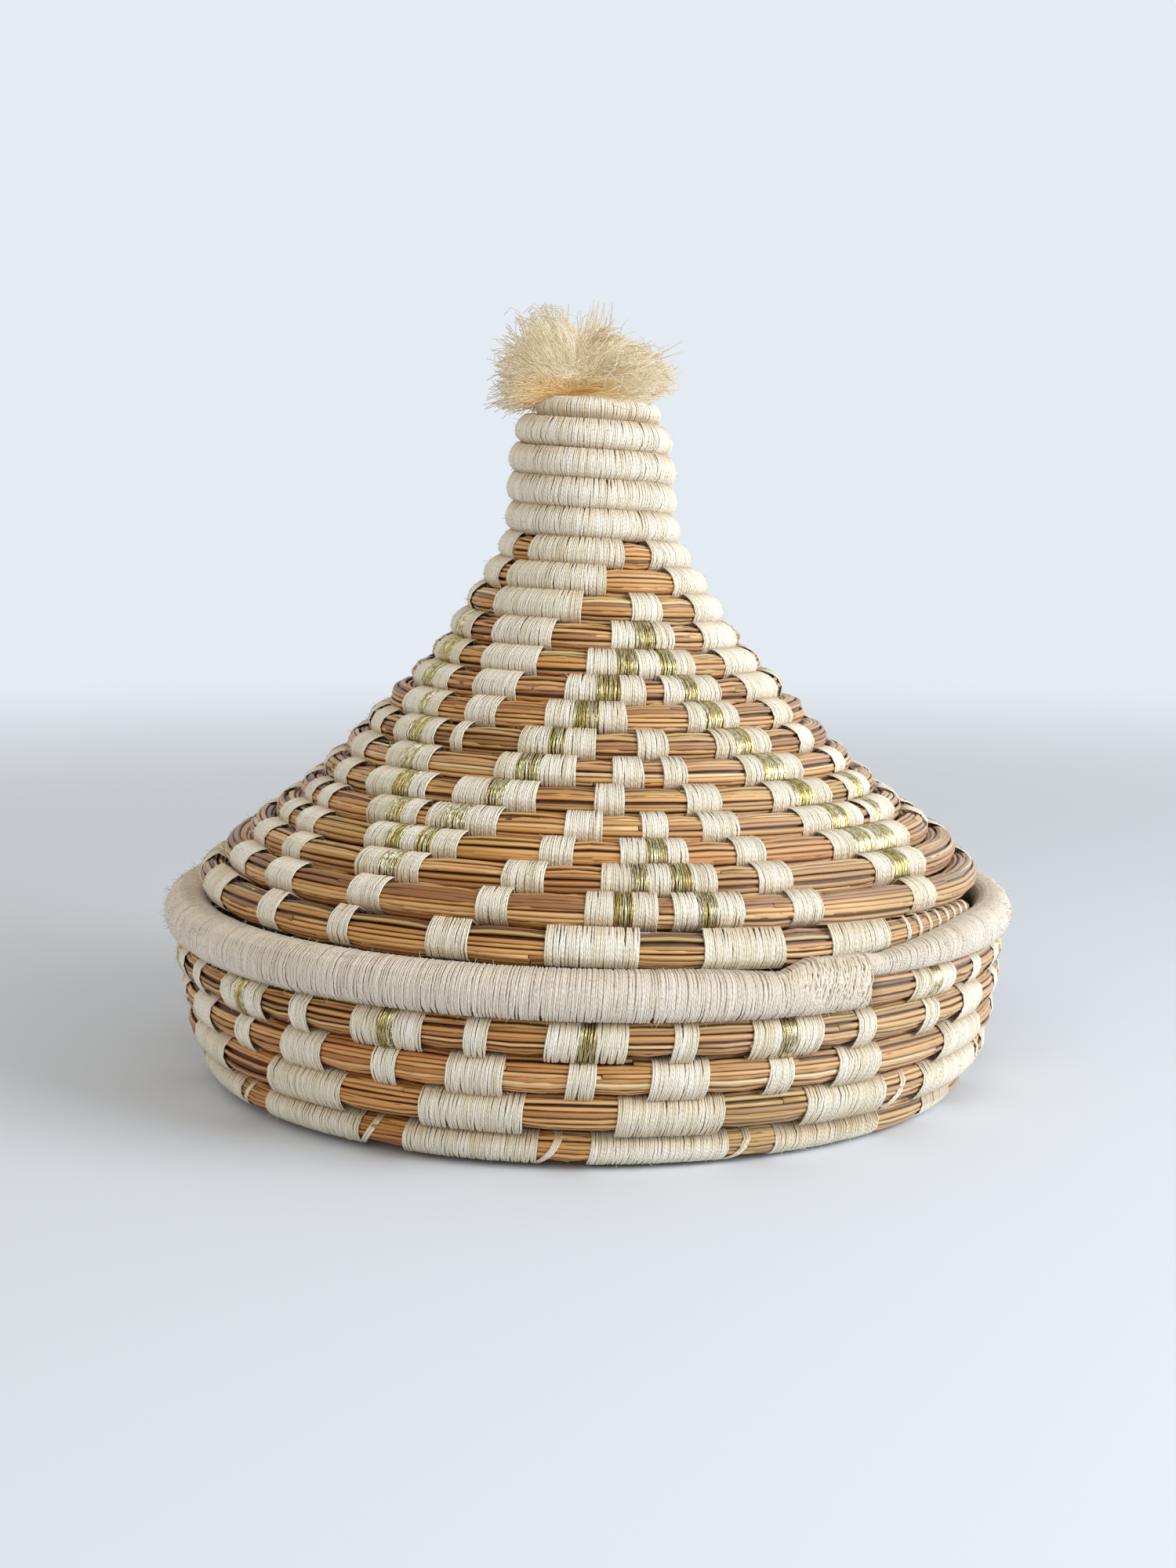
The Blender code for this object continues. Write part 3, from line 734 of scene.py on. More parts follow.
def strand_mesh(name, coil, strands, pitch, height, lean, look, draw, path=wrap_path, gather=gather_shares,
                untidy=1.0, mottled=0.18):
    """Closed loops of yarn round the bundle, three-sided: two edges on the straw and a crest between them.

    A loop leans by so many metres from the row's middle to its edge, and bunches gather where they bite.
    """
    turn, bunch, tint = strands
    number, steps = len(turn), len(path)
    around = math.tau * at(coil, "radius", turn)[:, None]
    stray = draw.normal(0, strand_strays * untidy, (number, 1)) / around
    lean = (lean + draw.normal(0, strand_leans * untidy, (number, 1))) / around
    size = tied_place * (1 + draw.normal(0, strand_swells * untidy, (number, 1)))
    wander = draw.normal(0, strand_strays * untidy, (number, steps)) / around
    middle = turn[:, None] + stray + lean * path[:, 1] + wander + (bunch - turn)[:, None] * gather
    narrow = 1 - gather_thinning * gather
    half = pitch * strand_half_share / around * narrow
    onward = np.roll(path, -1, axis=0) - np.roll(path, 1, axis=0)
    normal = unit(np.stack([onward[:, 1], -onward[:, 0]], axis=1))
    proud = height * draw.uniform(*strand_heights_vary, number) / at(coil, "reach", turn)
    proud = proud[:, None] * narrow
    out, back = path[:, 0] * size, path[:, 1] * size
    low = in_row(coil, middle - half, out, -back)
    crest = in_row(coil, middle, out + proud * normal[:, 0], -back - proud * normal[:, 1])
    high = in_row(coil, middle + half, out, -back)
    length = lengths_to(path) * float(np.mean(coil["reach"]))
    grain = (edge_places, length[:, None], draw.uniform(0, grain_shift, (number, 1, 1)))
    shade = np.clip(0.5 + tint + draw.uniform(-mottled, mottled, number), 0, 1)
    # Where a strand bites into the row before: how much painted groove shade it takes.
    bitten = ease(np.abs(path[:, 1]), bite_from, bite_to)[:, None]
    bitten = bitten * draw.uniform(*bite_depths, (number, 1, 1))
    return tube_mesh(name, np.stack([low, crest, high], axis=2), True, look, grain,
                     tint=shade[:, None, None], deep=bitten)


def lay_padding(name, coil, start, end, look, body, share=padding_share):
    """A smooth round of the same wool just under the strands, so that nothing dark shows between them: its
    darker, yellower tone is painted shade in those gaps.

    It reaches out to a share of the bundle's half thickness, and moves with its body.
    """
    low, high = at(coil, "rings", start), at(coil, "rings", end)
    turn = at(coil, "turn", np.linspace(low, high, int(high - low)), "rings")[:, None]
    corner = math.tau * np.arange(padding_sides) / padding_sides
    points = in_row(coil, turn, share * np.cos(corner), share * np.sin(corner))
    thing = tube_mesh(name, points[None], False, look, (0, 0, 0), tint=padding_shade_tint, deep=padding_groove_share)
    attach(thing, body)


# Painted shade in the grooves where the strands bite into the row before
wool_groove_shade = (206, 168, 108)
ply_twist = (math.tau * 0.7, math.tau * 520, 1.0)
wool_fibre_scales, gold_facet_scales = (5, 2600, 7), (5, 480, 9)
cream_shades = (216, 203, 172), (238, 230, 210), (250, 246, 236)


def wool_look(name, dark, middle, light, groove_shade=0.6):
    """Two-ply wool: a tone for each strand, slanting lines of painted shade where the plies twist, painted
    groove shade where a strand bites in, and a soft sheen.
    """
    look, tree, shader = new_look(name, {"Roughness": 0.85, "Specular IOR Level": 0.25,
                                         "Sheen Weight": 0.35, "Sheen Roughness": 0.5})
    grain = written(tree, "grain", "Vector")
    turns = add_node(tree, "ShaderNodeVectorMath", {0: grain, 1: ply_twist}, operation="DOT_PRODUCT")
    plies = add_node(tree, "ShaderNodeMath", {0: turns.outputs["Value"]}, operation="SINE").outputs[0]
    fibres = noise_on(tree, grain, wool_fibre_scales, 3.0, 0.7)
    colour = ramp(tree, written(tree, "tint"), ((0.0, dark), (0.5, middle), (1.0, light)))
    # Painted shade in the grooves between the plies, as slanting darker lines.
    colour = mix_colours(tree, spread_out(tree, plies, -1, 0.2, 0.34, 0.0), colour, linear(*dark))
    colour = tinted(tree, colour, fibres, 0.5, 0.8, 0.5, light)
    # Painted shade: yellower and darker where a strand bites into the groove between rows.
    colour = tinted(tree, colour, written(tree, "deep"), 0.0, 1.0, groove_shade, wool_groove_shade)
    tree.links.new(colour, shader.inputs["Base Color"])
    bumps = add_node(tree, "ShaderNodeMath", {0: plies, 1: fibres}, operation="ADD").outputs[0]
    relief(tree, shader, bumps, 0.4, 0.00016)
    return look


# Gold tones up to near white: partly the metal's tone, partly painted glints
gold_tints_and_glints = ((0.0, (196, 172, 98)), (0.4, (238, 222, 162)), (1.0, (255, 250, 228)))
gold_painted_dull = (138, 117, 46)


def gold_look():
    """Flat twisted metal thread: it glints where a flat side faces the light. Its colour also holds painted
    glints, whitish on some threads, and painted dull olive patches.
    """
    look, tree, shader = new_look("gold_thread", {"Metallic": 0.9, "Roughness": 0.28})
    facets_and_glints = noise_on(tree, written(tree, "grain", "Vector"), gold_facet_scales, 3.0, 0.65)
    colour = ramp(tree, written(tree, "tint"), gold_tints_and_glints)
    # Painted glints and dull reflections: olive patches by noise, between brighter ones.
    colour = tinted(tree, colour, facets_and_glints, 0.48, 0.55, 0.82, gold_painted_dull)
    tree.links.new(colour, shader.inputs["Base Color"])
    relief(tree, shader, facets_and_glints, 0.8, 0.00035)
    return look


cream = wool_look("cream_wool", *cream_shades)
gold = gold_look()
bowl_lean = 0.0008


def sew(name, coil, blocks, kind, body, lean, seed, pitch=wool_pitch, gather=gather_shares):
    """Sews the blocks of one kind of yarn as one piece, which moves with its body."""
    draw = np.random.default_rng(seed)
    height, look, mottled = wool_height, cream, cream_mottled
    if kind == "g":
        pitch, height, look, mottled = gold_pitch, gold_height, gold, gold_mottled
    strands = strands_in(coil, [block for block in blocks if block[0] == kind], pitch, draw)
    thing = strand_mesh(name, coil, strands, pitch, height, lean, look, draw,
                        gather=gather, mottled=mottled)
    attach(thing, body)


wall_blocks = of_rows(blocks_on_bowl, range(len(bowl_chart)))
floor_blocks = [block for block in blocks_on_bowl if block[3] >= len(bowl_chart)]
sew("bowl_upper_stitches", bowl_coil, of_rows(wall_blocks, (0, 1)), "c", "base", bowl_lean, 21)
sew("bowl_lower_stitches", bowl_coil, of_rows(wall_blocks, (2, 3)), "c", "base", bowl_lean, 24)
sew("bowl_floor_stitches", bowl_coil, floor_blocks, "c", "base", bowl_lean, 22, floor_wool_pitch)
sew("bowl_gold_stitches", bowl_coil, wall_blocks, "g", "base", bowl_lean, 23)
sew("bowl_slanted_stitches", bowl_coil, slanted_blocks, "c", "base", slanted_lean, 25)

# The rim
# The bowl's last turn is a thicker roll of straw, wrapped all over in wool. It starts at the join on the
# right of the front, goes once round and tapers out on top of its own start, where it is bound down.
rim_overlap_turn = 0.022
rim_start_share = 0.72
rim_swell_turn = 0.07
rim_thin_share = 0.8
rim_thin_turns = (0.5, 0.85)
rim_end_share = 0.28
rim_taper_turn = 0.1


def rim_half_at(turn):
    """Half the rim's thickness: it swells from its start, thins at the back and ends in a taper."""
    gone = turn - bowl_end_turn
    swell = rim_start_share + (1 - rim_start_share) * ease(gone, 0, rim_swell_turn)
    thin = 1 - (1 - rim_thin_share) * ease(gone, *rim_thin_turns)
    end = 1 + rim_overlap_turn
    taper = 1 - (1 - rim_end_share / rim_thin_share) * ease(gone, end - rim_taper_turn, end)
    return rim_half * swell * thin * taper


def rim_at(turn):
    """The rim lies on the last reed row, and its tapered end lies on its own start."""
    under, under_half = bowl_row_at(turn - 1)
    half = rim_half_at(turn)
    first, first_half = bowl_row_at(turn - 2)
    start_half = rim_half_at(turn - 1)
    on_start = first + first_half + row_gap + 2 * start_half
    below = np.where(turn - 1 > bowl_end_turn, on_start, under + under_half)
    return below + row_gap + half, half


rim_turns = np.linspace(bowl_end_turn, bowl_end_turn + 1 + rim_overlap_turn, samples_per_turn * 2)
rim_coil = coil_of(rim_turns, *rim_at(rim_turns), bowl_side, bowl_angle(rim_turns), 1)
rim_path = np.array((
    (0.26, -0.97), (0.72, -0.72), (0.97, -0.26), (1.0, 0.22), (0.92, 0.6), (0.62, 0.95), (-0.3, 1.0),
    (-0.72, 0.72), (-1.0, 0.25), (-1.0, -0.25), (-0.72, -0.72), (-0.26, -0.97),
))
rim_gather_shares = np.array((0, 0, 0, 0, 0.02, 0.16, 0.18, 0.06, 0, 0, 0, 0))
rim_pitch = 0.00066
rim_lean = 0.0007
rim_untidy = 1.15
rim_strand_height = 0.0003
rim_padding_share = 0.93
rim_shades = (200, 186, 164), (226, 215, 197), (243, 236, 224)
# How much painted groove shade the rim's strands take
rim_groove_shade = 0.3
rim_wool = wool_look("rim_wool", *rim_shades, rim_groove_shade)
rim_block = ("c", rim_turns[0], rim_turns[-1], 0)

draw = np.random.default_rng(31)
rim_strands = strands_in(rim_coil, [rim_block], rim_pitch, draw)
rim_wrap = strand_mesh("rim_wrap", rim_coil, rim_strands, rim_pitch, rim_strand_height, rim_lean,
                       rim_wool, draw, rim_path, rim_gather_shares, rim_untidy)
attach(rim_wrap, "base")
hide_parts("rim_roll")
lay_padding("rim_padding", rim_coil, *rim_block[1:3], rim_wool, "base", rim_padding_share)

# The rim's splice
# Where the roll's tapered end lies on its start, both are bound together with more of the same yarn. The
# binding is untidy, in three layers that slant both ways, and a little paler than the rim.
splice_turns = (0.001, 0.036)
splice_samples = 60
splice_pitch = 0.0011
splice_strand_share = 1.2
splice_swell = 1.04
splice_untidy = 3.0
splice_shades = (204, 190, 164), (232, 221, 202), (246, 240, 228)
# How much painted groove shade the splice's strands take
splice_groove_shade = 0.32
# For each layer, how far its strands lean in metres and how thick it lies
splice_layers = ((0.0012, 1.0), (-0.0022, 1.02), (0.0032, 1.04))


def splice_at(turn):
    """The roll's start and the end on top of it, as one thick bundle: its middle and half thickness."""
    start, start_half = rim_at(np.clip(turn, rim_turns[0], rim_turns[-1]))
    end, end_half = rim_at(np.clip(turn + 1, rim_turns[0], rim_turns[-1]))
    low = start - start_half
    fading = 1 - ease(turn - bowl_end_turn, rim_overlap_turn, splice_turns[1])
    high = start + start_half + (end + end_half - start - start_half) * fading
    return (low + high) / 2, (high - low) / 2


splice_along = np.linspace(bowl_end_turn + splice_turns[0], bowl_end_turn + splice_turns[1], splice_samples)
splice_middle, splice_half = splice_at(splice_along)
splice_coil = coil_of(splice_along, splice_middle, splice_half, bowl_side, bowl_angle(splice_along), 1)


def make_splice():
    """Three thin layers of yarn round both bundles, each leaning its own way."""
    draw = np.random.default_rng(33)
    look = wool_look("splice_wool", *splice_shades, splice_groove_shade)
    thickness = rim_half * rim_start_share / float(np.mean(splice_half)) * splice_swell
    block = ("c", splice_along[1], splice_along[-2], 0)
    for number, (lean, layer) in enumerate(splice_layers):
        strands = strands_in(splice_coil, [block], splice_pitch, draw)
        thing = strand_mesh(f"rim_splice_{number + 1}", splice_coil, strands,
                            wool_pitch * splice_strand_share, wool_height, lean, look, draw,
                            rim_path * (thickness * layer, layer), rim_gather_shares, splice_untidy)
        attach(thing, "base")


make_splice()

# The lid's straw
# The lid is a second bundle, wound from the neck's top down and out to the edge. Its last row swells and
# ends in a thin tail at the front's right.
neck_radius = 0.0284
neck_height = 0.047
cone_height = 0.1445
# The neck and the cone seen from the side, as shares of their widths and heights
neck_shares = (
    (0.0, 1.0), (0.4, 1.0), (0.66, 0.995), (0.84, 0.91), (0.945, 0.71), (0.995, 0.49), (1.01, 0.25),
    (1.05, 0.0),
)
cone_shares = (
    (0.041, 0.915), (0.131, 0.783), (0.235, 0.646), (0.38, 0.508), (0.518, 0.38),
    (0.687, 0.242), (0.86, 0.128), (0.935, 0.076), (1.0, 0.0), (1.02, -0.1),
)
lid_row = 0.01188
lid_start_radius = 0.0112
lid_row_shares = ((0.0, 0.86), (0.25, 0.92), (0.45, 1.0), (1.0, 1.02))
last_row_share = 1.2
last_row_swell_turn = 0.3
tail_end_share = 0.34
tail_end_angle = 69.0
tail_turn = 0.12
let_out_share = 0.045
let_out_angle = 110.0
seat_inset = 0.0099

lid_edge_radius = floor_radius + wall_flare - seat_inset
lid_corners = [np.array([neck_radius * out, cone_height + neck_height * up]) for out, up in neck_shares]
lid_corners += [np.array([neck_radius + (lid_edge_radius - neck_radius) * out, cone_height * up])
                for out, up in cone_shares]
lid_side = smooth_line(lid_corners, -cone_height)
lid_line, lid_along = lid_side
edge_along = float(lid_along[-1 - corner_points])
neck_along = float(lid_along[corner_points * (len(neck_shares) - 1)])
lid_steps, lid_thickness, lid_turns_along = wound(
    lid_side, lid_start_radius, edge_along,
    lambda steps: lid_row * np.interp(steps / edge_along, *zip(*lid_row_shares)))
lid_end_turn = float(lid_turns_along[-1]) - (last_row_share / 2 - 0.5) + tail_end_angle / 360


def lid_angle(turn):
    """The lid winds down anticlockwise seen from above, and its tail ends at the front's right."""
    return tail_end_angle + 360 * (turn - lid_end_turn)


def lid_plain_row_at(turn):
    """The rows follow the line, and are let out a little on the side where the tail ends."""
    along = np.interp(turn, lid_turns_along, lid_steps)
    half = np.interp(along, lid_steps, lid_thickness) / 2
    side = np.cos(np.radians(lid_angle(turn) - let_out_angle)) / 2 + 0.5
    loose = 1 + let_out_share * side * side * ease(along, neck_along, edge_along)
    return along + (along - neck_along) * (loose - 1), half * loose


def lid_row_at(turn):
    """The last row is thicker, lies under the one before and tapers to its tail."""
    along, half = lid_plain_row_at(turn)
    gone = turn - (lid_end_turn - 1)
    above, above_half = lid_plain_row_at(turn - 1)
    thick = 1 + (last_row_share - 1) * ease(gone, 0, last_row_swell_turn)
    taper = 1 - (1 - tail_end_share) * ease(gone, 1 - tail_turn, 1)
    last_half = above_half * thick * taper
    last = above + above_half + row_gap + last_half
    return np.where(gone > 0, last, along), np.where(gone > 0, last_half, half)


knot_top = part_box("lid_start_knot")[1][2]
top_half = float(lid_plain_row_at(np.array([0.0]))[1][0])
lid_rise = knot_top - (neck_height + cone_height + top_half * bulge_share)
lid_turns = np.linspace(0, lid_end_turn, int(lid_end_turn * samples_per_turn))
lid_coil = coil_of(lid_turns, *lid_row_at(lid_turns), lid_side, lid_angle(lid_turns), -1, lid_rise)

# The lid's stitches are charted for the front, row by row down from the neck. The same motif comes again
# at each quarter of the way round, wherever the front's own stitches leave room for it.
lid_chart = {
    6: "-41 c 19.5, 37.5 c 108, 125 c 198, 214 c 304",
    7: "-49 c 7.6, 45 c 104, 130 c 192, 219 c 286",
    8: "-49 c -4, 18 c 32, 51 c 104, 130 c 205, 222 c 285",
    9: "-78 c -71 g -62.5 c -55.5, -42 c -15, 7.8 c 17 g 25.3 c 33.4, 47.8 c 76",
    10: "-77 c -68.5 g -59 c -52.3, -41 c -18.3, -1.5 c 8.7 g 15.8 c 23.5 g 29.3 c 37, 51 c 77",
    11: "-76 c -64.5 g -57 c -49, -38 c -22.5, -7.5 c 1.7 g 8.6 c 16, 21.8 c 27.8 g 32.8 c 41, 52.5 c 74",
    12: "-64.3 c -53.8 g -50.3 c -45, -35.4 c -25.6, -12 c -4.5 g 2 c 9.2, "
        "26 c 31 g 36.4 c 41.7, 56 c 67.5",
    13: "-75 c -65.7, -57.3 c -50.4 g -45.1 c -40.7, -35.4 c -31.8, -17 c -9.7 g -6.1 c 1.1, 10.8 c 18.1, "
        "30.2 c 35.7 g 40.7 c 46.9, 59 c 67.3",
    14: "-74 c -62.3, -51.9 c -45.9 g -42.1 c -37.4, -20.6 c -15.8 g -10.8 c -3.2, 4.6 c 11, 15.3 c 20.5, "
        "34.2 c 39.1 g 45.3 c 51.4, 66 c 74",
    15: "-67.7 c -60, -51.4 c -42.8 g -38.4 c -33.9, -27.5 c -20.6 g -16.7 c -10.3, 0.8 c 6.4, "
        "18.5 c 25.4, 37.1 c 42.8 g 47.9 c 54, 60.5 c 64 g 68.5 c 74",
    16: "-73 c -67, -63.5 c -57.9, -44.8 c -39.7 g -35.9 c -32.2, -30.4 c -26.8 g -22.3 c -16.4, "
        "-4.5 c 2.1, 8.9 c 13.5, 19.4 c 26.5, 39.9 c 47.5 g 51.9 c 57, 59.3 c 62 g 65.5 c 73",
    17: "-73 c -66, -62 c -54.5, -40.3 c -35.4 g -32.2 c -29.2 g -26.5 c -21.6, -8 c -2.6, "
        "4.7 c 9 g 12 c 15.5, 23.4 c 28.6, 42 c 47.3 g 52 c 53.5 g 59.5 c 65.3",
    18: "-73 c -65, -57.2 c -51.1, -37.9 c -33 g -29.9 c -25.9, -12.8 c -6.6, "
        "1.6 c 5.8 g 8.4 c 11.6 g 14.7 c 18.4, 24.8 c 30.4, 46.4 c 51 g 55.3 c 61",
    19: "-71 c -62, -54.4 c -47.1, -35.5 c -29.8, -15.4 c -11, -0.7 c 3.1 g 5.6 c 9, "
        "11.1 c 14.4 g 17 c 20.8, 27.9 c 32.8, 50.3 c 56.4",
    20: "-72 c -61.8, -50.3 c -46, -35.8 c -32.5, -20.9 c -15.4, -5.6 c 6, 14.2 c 25, 32 c 42.6",
}
wrapped_rows = 5
wrap_end_angle = -55.5
last_row = 20
# Past the last block of the last row the thin tail is caught by single stitches: from which angle on,
# how far apart, how many, and how wide.
tail_stitches = (46.5, 2.9, 8, 0.75)
motif_turn = 90.0
motif_margin = 2.0
front_reach = 79.0
front_only_rows = (6, 7, 8)
straw_start_angle = -62
lid_stems = 21


def lid_turn_at(row, angle):
    """The turn of the lid's coil that passes an angle in a row, counted down from the neck's top."""
    return lid_end_turn + (angle - tail_end_angle) / 360 - (last_row - row)


def row_blocks(row, text):
    """One row's stitches at the front, then each quarter's, left out where they would run into others."""
    placed = []
    for number in range(round(360 / motif_turn)):
        shift = motif_turn * number
        for run in text.split(","):
            stitches = runs_of(run)
            low, high = stitches[0][1] + shift, stitches[-1][2] + shift
            clear = all(low - end > motif_margin or start - high > motif_margin
                        for _, _, _, first, last in placed
                        for start, end in ((first, last), (first + 360, last + 360)))
            seen = low < front_reach or high > 360 - front_reach
            if number and (seen or not clear or row in front_only_rows):
                continue
            placed += [(kind, first + shift, last + shift, low, high) for kind, first, last in stitches]
    return [(kind, lid_turn_at(row, first), lid_turn_at(row, last), row)
            for kind, first, last, _, _ in placed]


def lid_blocks():
    """Where on the lid's coil each stitched block lies: the wrapped neck, the charted rows and the tail."""
    found = [("c", 0.0, lid_turn_at(wrapped_rows + 1, wrap_end_angle), wrapped_rows)]
    for row, text in lid_chart.items():
        found += row_blocks(row, text)
    first, apart, count, width = tail_stitches
    for angle in first + apart * np.arange(count):
        found.append(("c", lid_turn_at(last_row, angle), lid_turn_at(last_row, angle + width), last_row))
    return [block for block in found if block[2] <= lid_end_turn]


blocks_on_lid = lid_blocks()
lid_cover = cover_of(lid_coil, blocks_on_lid)
straw_start = lid_turn_at(wrapped_rows + 1, straw_start_angle)
lid_straw = straw_tubes("lid_straw", lid_coil, straw_start, lid_end_turn, lid_stems, lid_cover, 41)
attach(lid_straw, "lid")
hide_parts("lid_coil")

# The lid's stitches
# The same yarn as on the bowl, but each strand bites into the row above, and more gently. The neck is
# wrapped all over.
lid_lean = 0.0003
neck_gather = gather_shares * 0.5
lid_gather = gather_shares * 0.7
neck_padding_angle = -56
# Each piece of cream stitches: its name, its rows and the seed of its chances
lid_stitch_pieces = (
    ("lid_upper_stitches", range(6, 13), 58), ("lid_middle_stitches", range(13, 17), 65),
    ("lid_lower_stitches", range(17, 21), 69),
)
neck_blocks = of_rows(blocks_on_lid, [wrapped_rows])
sew("neck_wrap", lid_coil, neck_blocks, "c", "lid", lid_lean, 51, gather=neck_gather)
neck_padding_end = lid_turn_at(wrapped_rows + 1, neck_padding_angle)
lay_padding("neck_padding", lid_coil, 0.0, neck_padding_end, cream, "lid")
for name, rows, seed in lid_stitch_pieces:
    sew(name, lid_coil, of_rows(blocks_on_lid, rows), "c", "lid", lid_lean, seed, gather=lid_gather)
sew("lid_gold_stitches", lid_coil, blocks_on_lid, "g", "lid", lid_lean, 59)

# The knots
# Each coil starts from a small ball of the same yarn, wound over and over through the middle. One closes
# the floor, and the other closes the neck under the tassel. The bundle's thin beginning curls in round it.
curl_turn = 1.0
curl_samples = 120
curl_hold_share = 0.8
knot_loops = 26
knot_points = 14
knot_strand = 0.0004
knot_step = 0.0012
knot_squareness = 0.7
knot_ways_vary = 0.05
knot_off_middle = 0.5
knot_tints = (0.2, 0.8)


def make_knot(name, node, body, seed):
    """Rounded squares through both poles of the node's box, each turned a little further than the last."""
    draw = np.random.default_rng(seed)
    low, high = (np.array(corner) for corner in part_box(node))
    centre, size = (low + high) / 2, (high - low) / 2
    bearing = math.tau * np.arange(knot_loops)[:, None] / knot_loops / 2
    bearing = bearing + draw.normal(0, knot_ways_vary, (knot_loops, 1))
    round_loop = math.tau * np.arange(knot_points)[None, :] / knot_points
    aside = draw.uniform(-knot_off_middle, knot_off_middle, (knot_loops, 1)) * size[0]
    width = np.sqrt(np.maximum(size[0] ** 2 - aside**2, 0)) - knot_strand
    cosine, sine = (np.sign(wave) * np.abs(wave) ** knot_squareness
                    for wave in (np.cos(round_loop), np.sin(round_loop)))
    across, up = width * cosine, (size[2] - knot_strand) * sine
    middle = centre + np.stack(np.broadcast_arrays(
        across * np.cos(bearing) - aside * np.sin(bearing),
        across * np.sin(bearing) + aside * np.cos(bearing), up), axis=-1)
    outward = unit(middle - centre)
    beside = np.cross(outward, unit(np.roll(middle, -1, axis=1) - np.roll(middle, 1, axis=1)))
    rings = np.stack([middle - beside * knot_strand, middle + outward * knot_strand,
                      middle + beside * knot_strand], axis=2)
    rings = np.clip(rings, low, high + (0, 0, knot_strand))
    tint = draw.uniform(*knot_tints, (knot_loops, 1, 1))
    along = np.arange(knot_points)[:, None] * knot_step
    thing = tube_mesh(name, rings, True, cream, (edge_places, along, 0), tint=tint)
    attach(thing, body)
    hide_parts(node)


def curl_in(name, node, side, row_at, angle_at, outward, rise, body, seed):
    """The bundle's beginning, one turn long, tapers away and fills the room round the knot.

    Its outer side keeps to the first row's inner side. Its inner side runs from the knot's side to the
    inner side of the first row's start.
    """
    turns = np.linspace(-curl_turn, 0, curl_samples)
    beside, beside_half = row_at(turns + 1)
    first, first_half = row_at(np.zeros(1))
    outer = beside - beside_half - row_gap
    knot_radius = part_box(node)[1][0]
    row_start = float(first[0] - first_half[0])
    inner = np.interp(turns, (-curl_turn, 0), (knot_radius * curl_hold_share, row_start))
    coil = coil_of(turns, (outer + inner) / 2, (outer - inner) / 2, side, angle_at(turns), outward, rise)
    start, end = float(turns[1]), 0.0
    sew(f"{name}_wrap", coil, [("c", start, end, 0)], "c", body, 0.0, seed, floor_wool_pitch)
    lay_padding(f"{name}_padding", coil, start, end, cream, body)


make_knot("bowl_knot", "bowl_start_knot", "base", 71)
make_knot("lid_knot", "lid_start_knot", "lid", 72)
curl_in("bowl_curl", "bowl_start_knot", bowl_side, bowl_row_at, bowl_angle, 1, 0.0, "base", 73)
curl_in("lid_curl", "lid_start_knot", lid_side, lid_row_at, lid_angle, -1, lid_rise, "lid", 74)

# The tassel
# A bundle of loose wool strands, tied at the neck's top and cut to about the same length. It has fallen
# open: a thick clump hangs to the left, the rest sweeps to the right, and a few wisps stand up.
# Each sweep: its way round and how steeply it rises, in degrees, how long it is, how much its locks
# spread, how many locks it has, and how far their tips sink.
tassel_sweeps = (
    (-82, 12, 0.022, 0.2, 24, 0.002), (-88, 38, 0.027, 0.2, 28, 0.001), (-72, 66, 0.033, 0.18, 26, 0.0),
    (20, 44, 0.02, 0.3, 10, 0.0), (-34, 40, 0.022, 0.26, 14, 0.001), (-136, 22, 0.026, 0.26, 14, 0.003),
    (-88, 0, 0.027, 0.05, 2, 0.003), (-60, 82, 0.038, 0.05, 2, 0.0),
    (10, 80, 0.028, 0.14, 16, 0.0), (76, 50, 0.031, 0.11, 22, 0.0), (80, 31, 0.034, 0.08, 28, 0.001),
    (80, 15, 0.037, 0.07, 34, 0.002), (64, 14, 0.033, 0.1, 22, 0.002), (178, 34, 0.03, 0.28, 14, 0.003),
    (120, 22, 0.036, 0.18, 18, 0.002), (70, 66, 0.038, 0.05, 3, 0.0), (84, 6, 0.044, 0.04, 2, 0.003),
    (80, 24, 0.043, 0.03, 2, 0.0),
)
tassel_lock_strands = 18
tassel_points = 9
tassel_pieces = (("tassel_left", range(0, 8)), ("tassel_right", range(8, 18)))
tassel_root = (-0.01, -0.0085)
tassel_root_size = 0.003
tassel_root_spread = (0.003, 0.003)
tassel_root_sunk = 0.0008
tassel_stem = 0.0035
tassel_strand = 0.00026
tassel_fan = 0.06
tassel_lowest_way = -0.1
tied_height = 0.008
tied_width = 0.02
tied_side_share = 1.4
neck_reach_share = 1.02
# How much the locks and the strands differ, as factors
lock_lengths_vary, strand_lengths_vary = (0.72, 1.08), (0.82, 1.06)
stems_vary, droops_vary, crimps_vary = (0.5, 1.5), (0.5, 1.6), (0.5, 1.8)
flat_stem_share, steep_stem_share = 0.25, 1.3
tassel_bend = 0.2
crimp = 0.001
crimp_paces = (11, 20)
crimp_starts_vary = 0.5
# The locks' random darker tones also stand in for the shade between locks, which the strands don't cast
# here.
lock_tint, lock_tints_vary, strand_tints_vary = 0.5, 0.2, 0.16
strand_curl = 1.3
strand_taper = 0.45
strand_slant = 0.3
nearly_up = (0.1, 0.05, 1.0)
wave_over_share = 0.6
# How far along its way, and how far up its stem, each of a strand's two middle corners lies
bend_places = (0.08, 0.62)
bend_heights = (1.0, 0.9)

wool_shades = (
    (0.0, (196, 172, 132)), (0.35, (222, 205, 172)), (0.7, (234, 222, 196)), (1.0, (248, 242, 226)),
)
# Painted shade at the tie, from none to deep yellow
tie_shade_colours = (
    (0.0, (255, 253, 248)), (0.35, (254, 242, 216)), (0.75, (250, 222, 166)), (1.0, (240, 194, 118)),
)


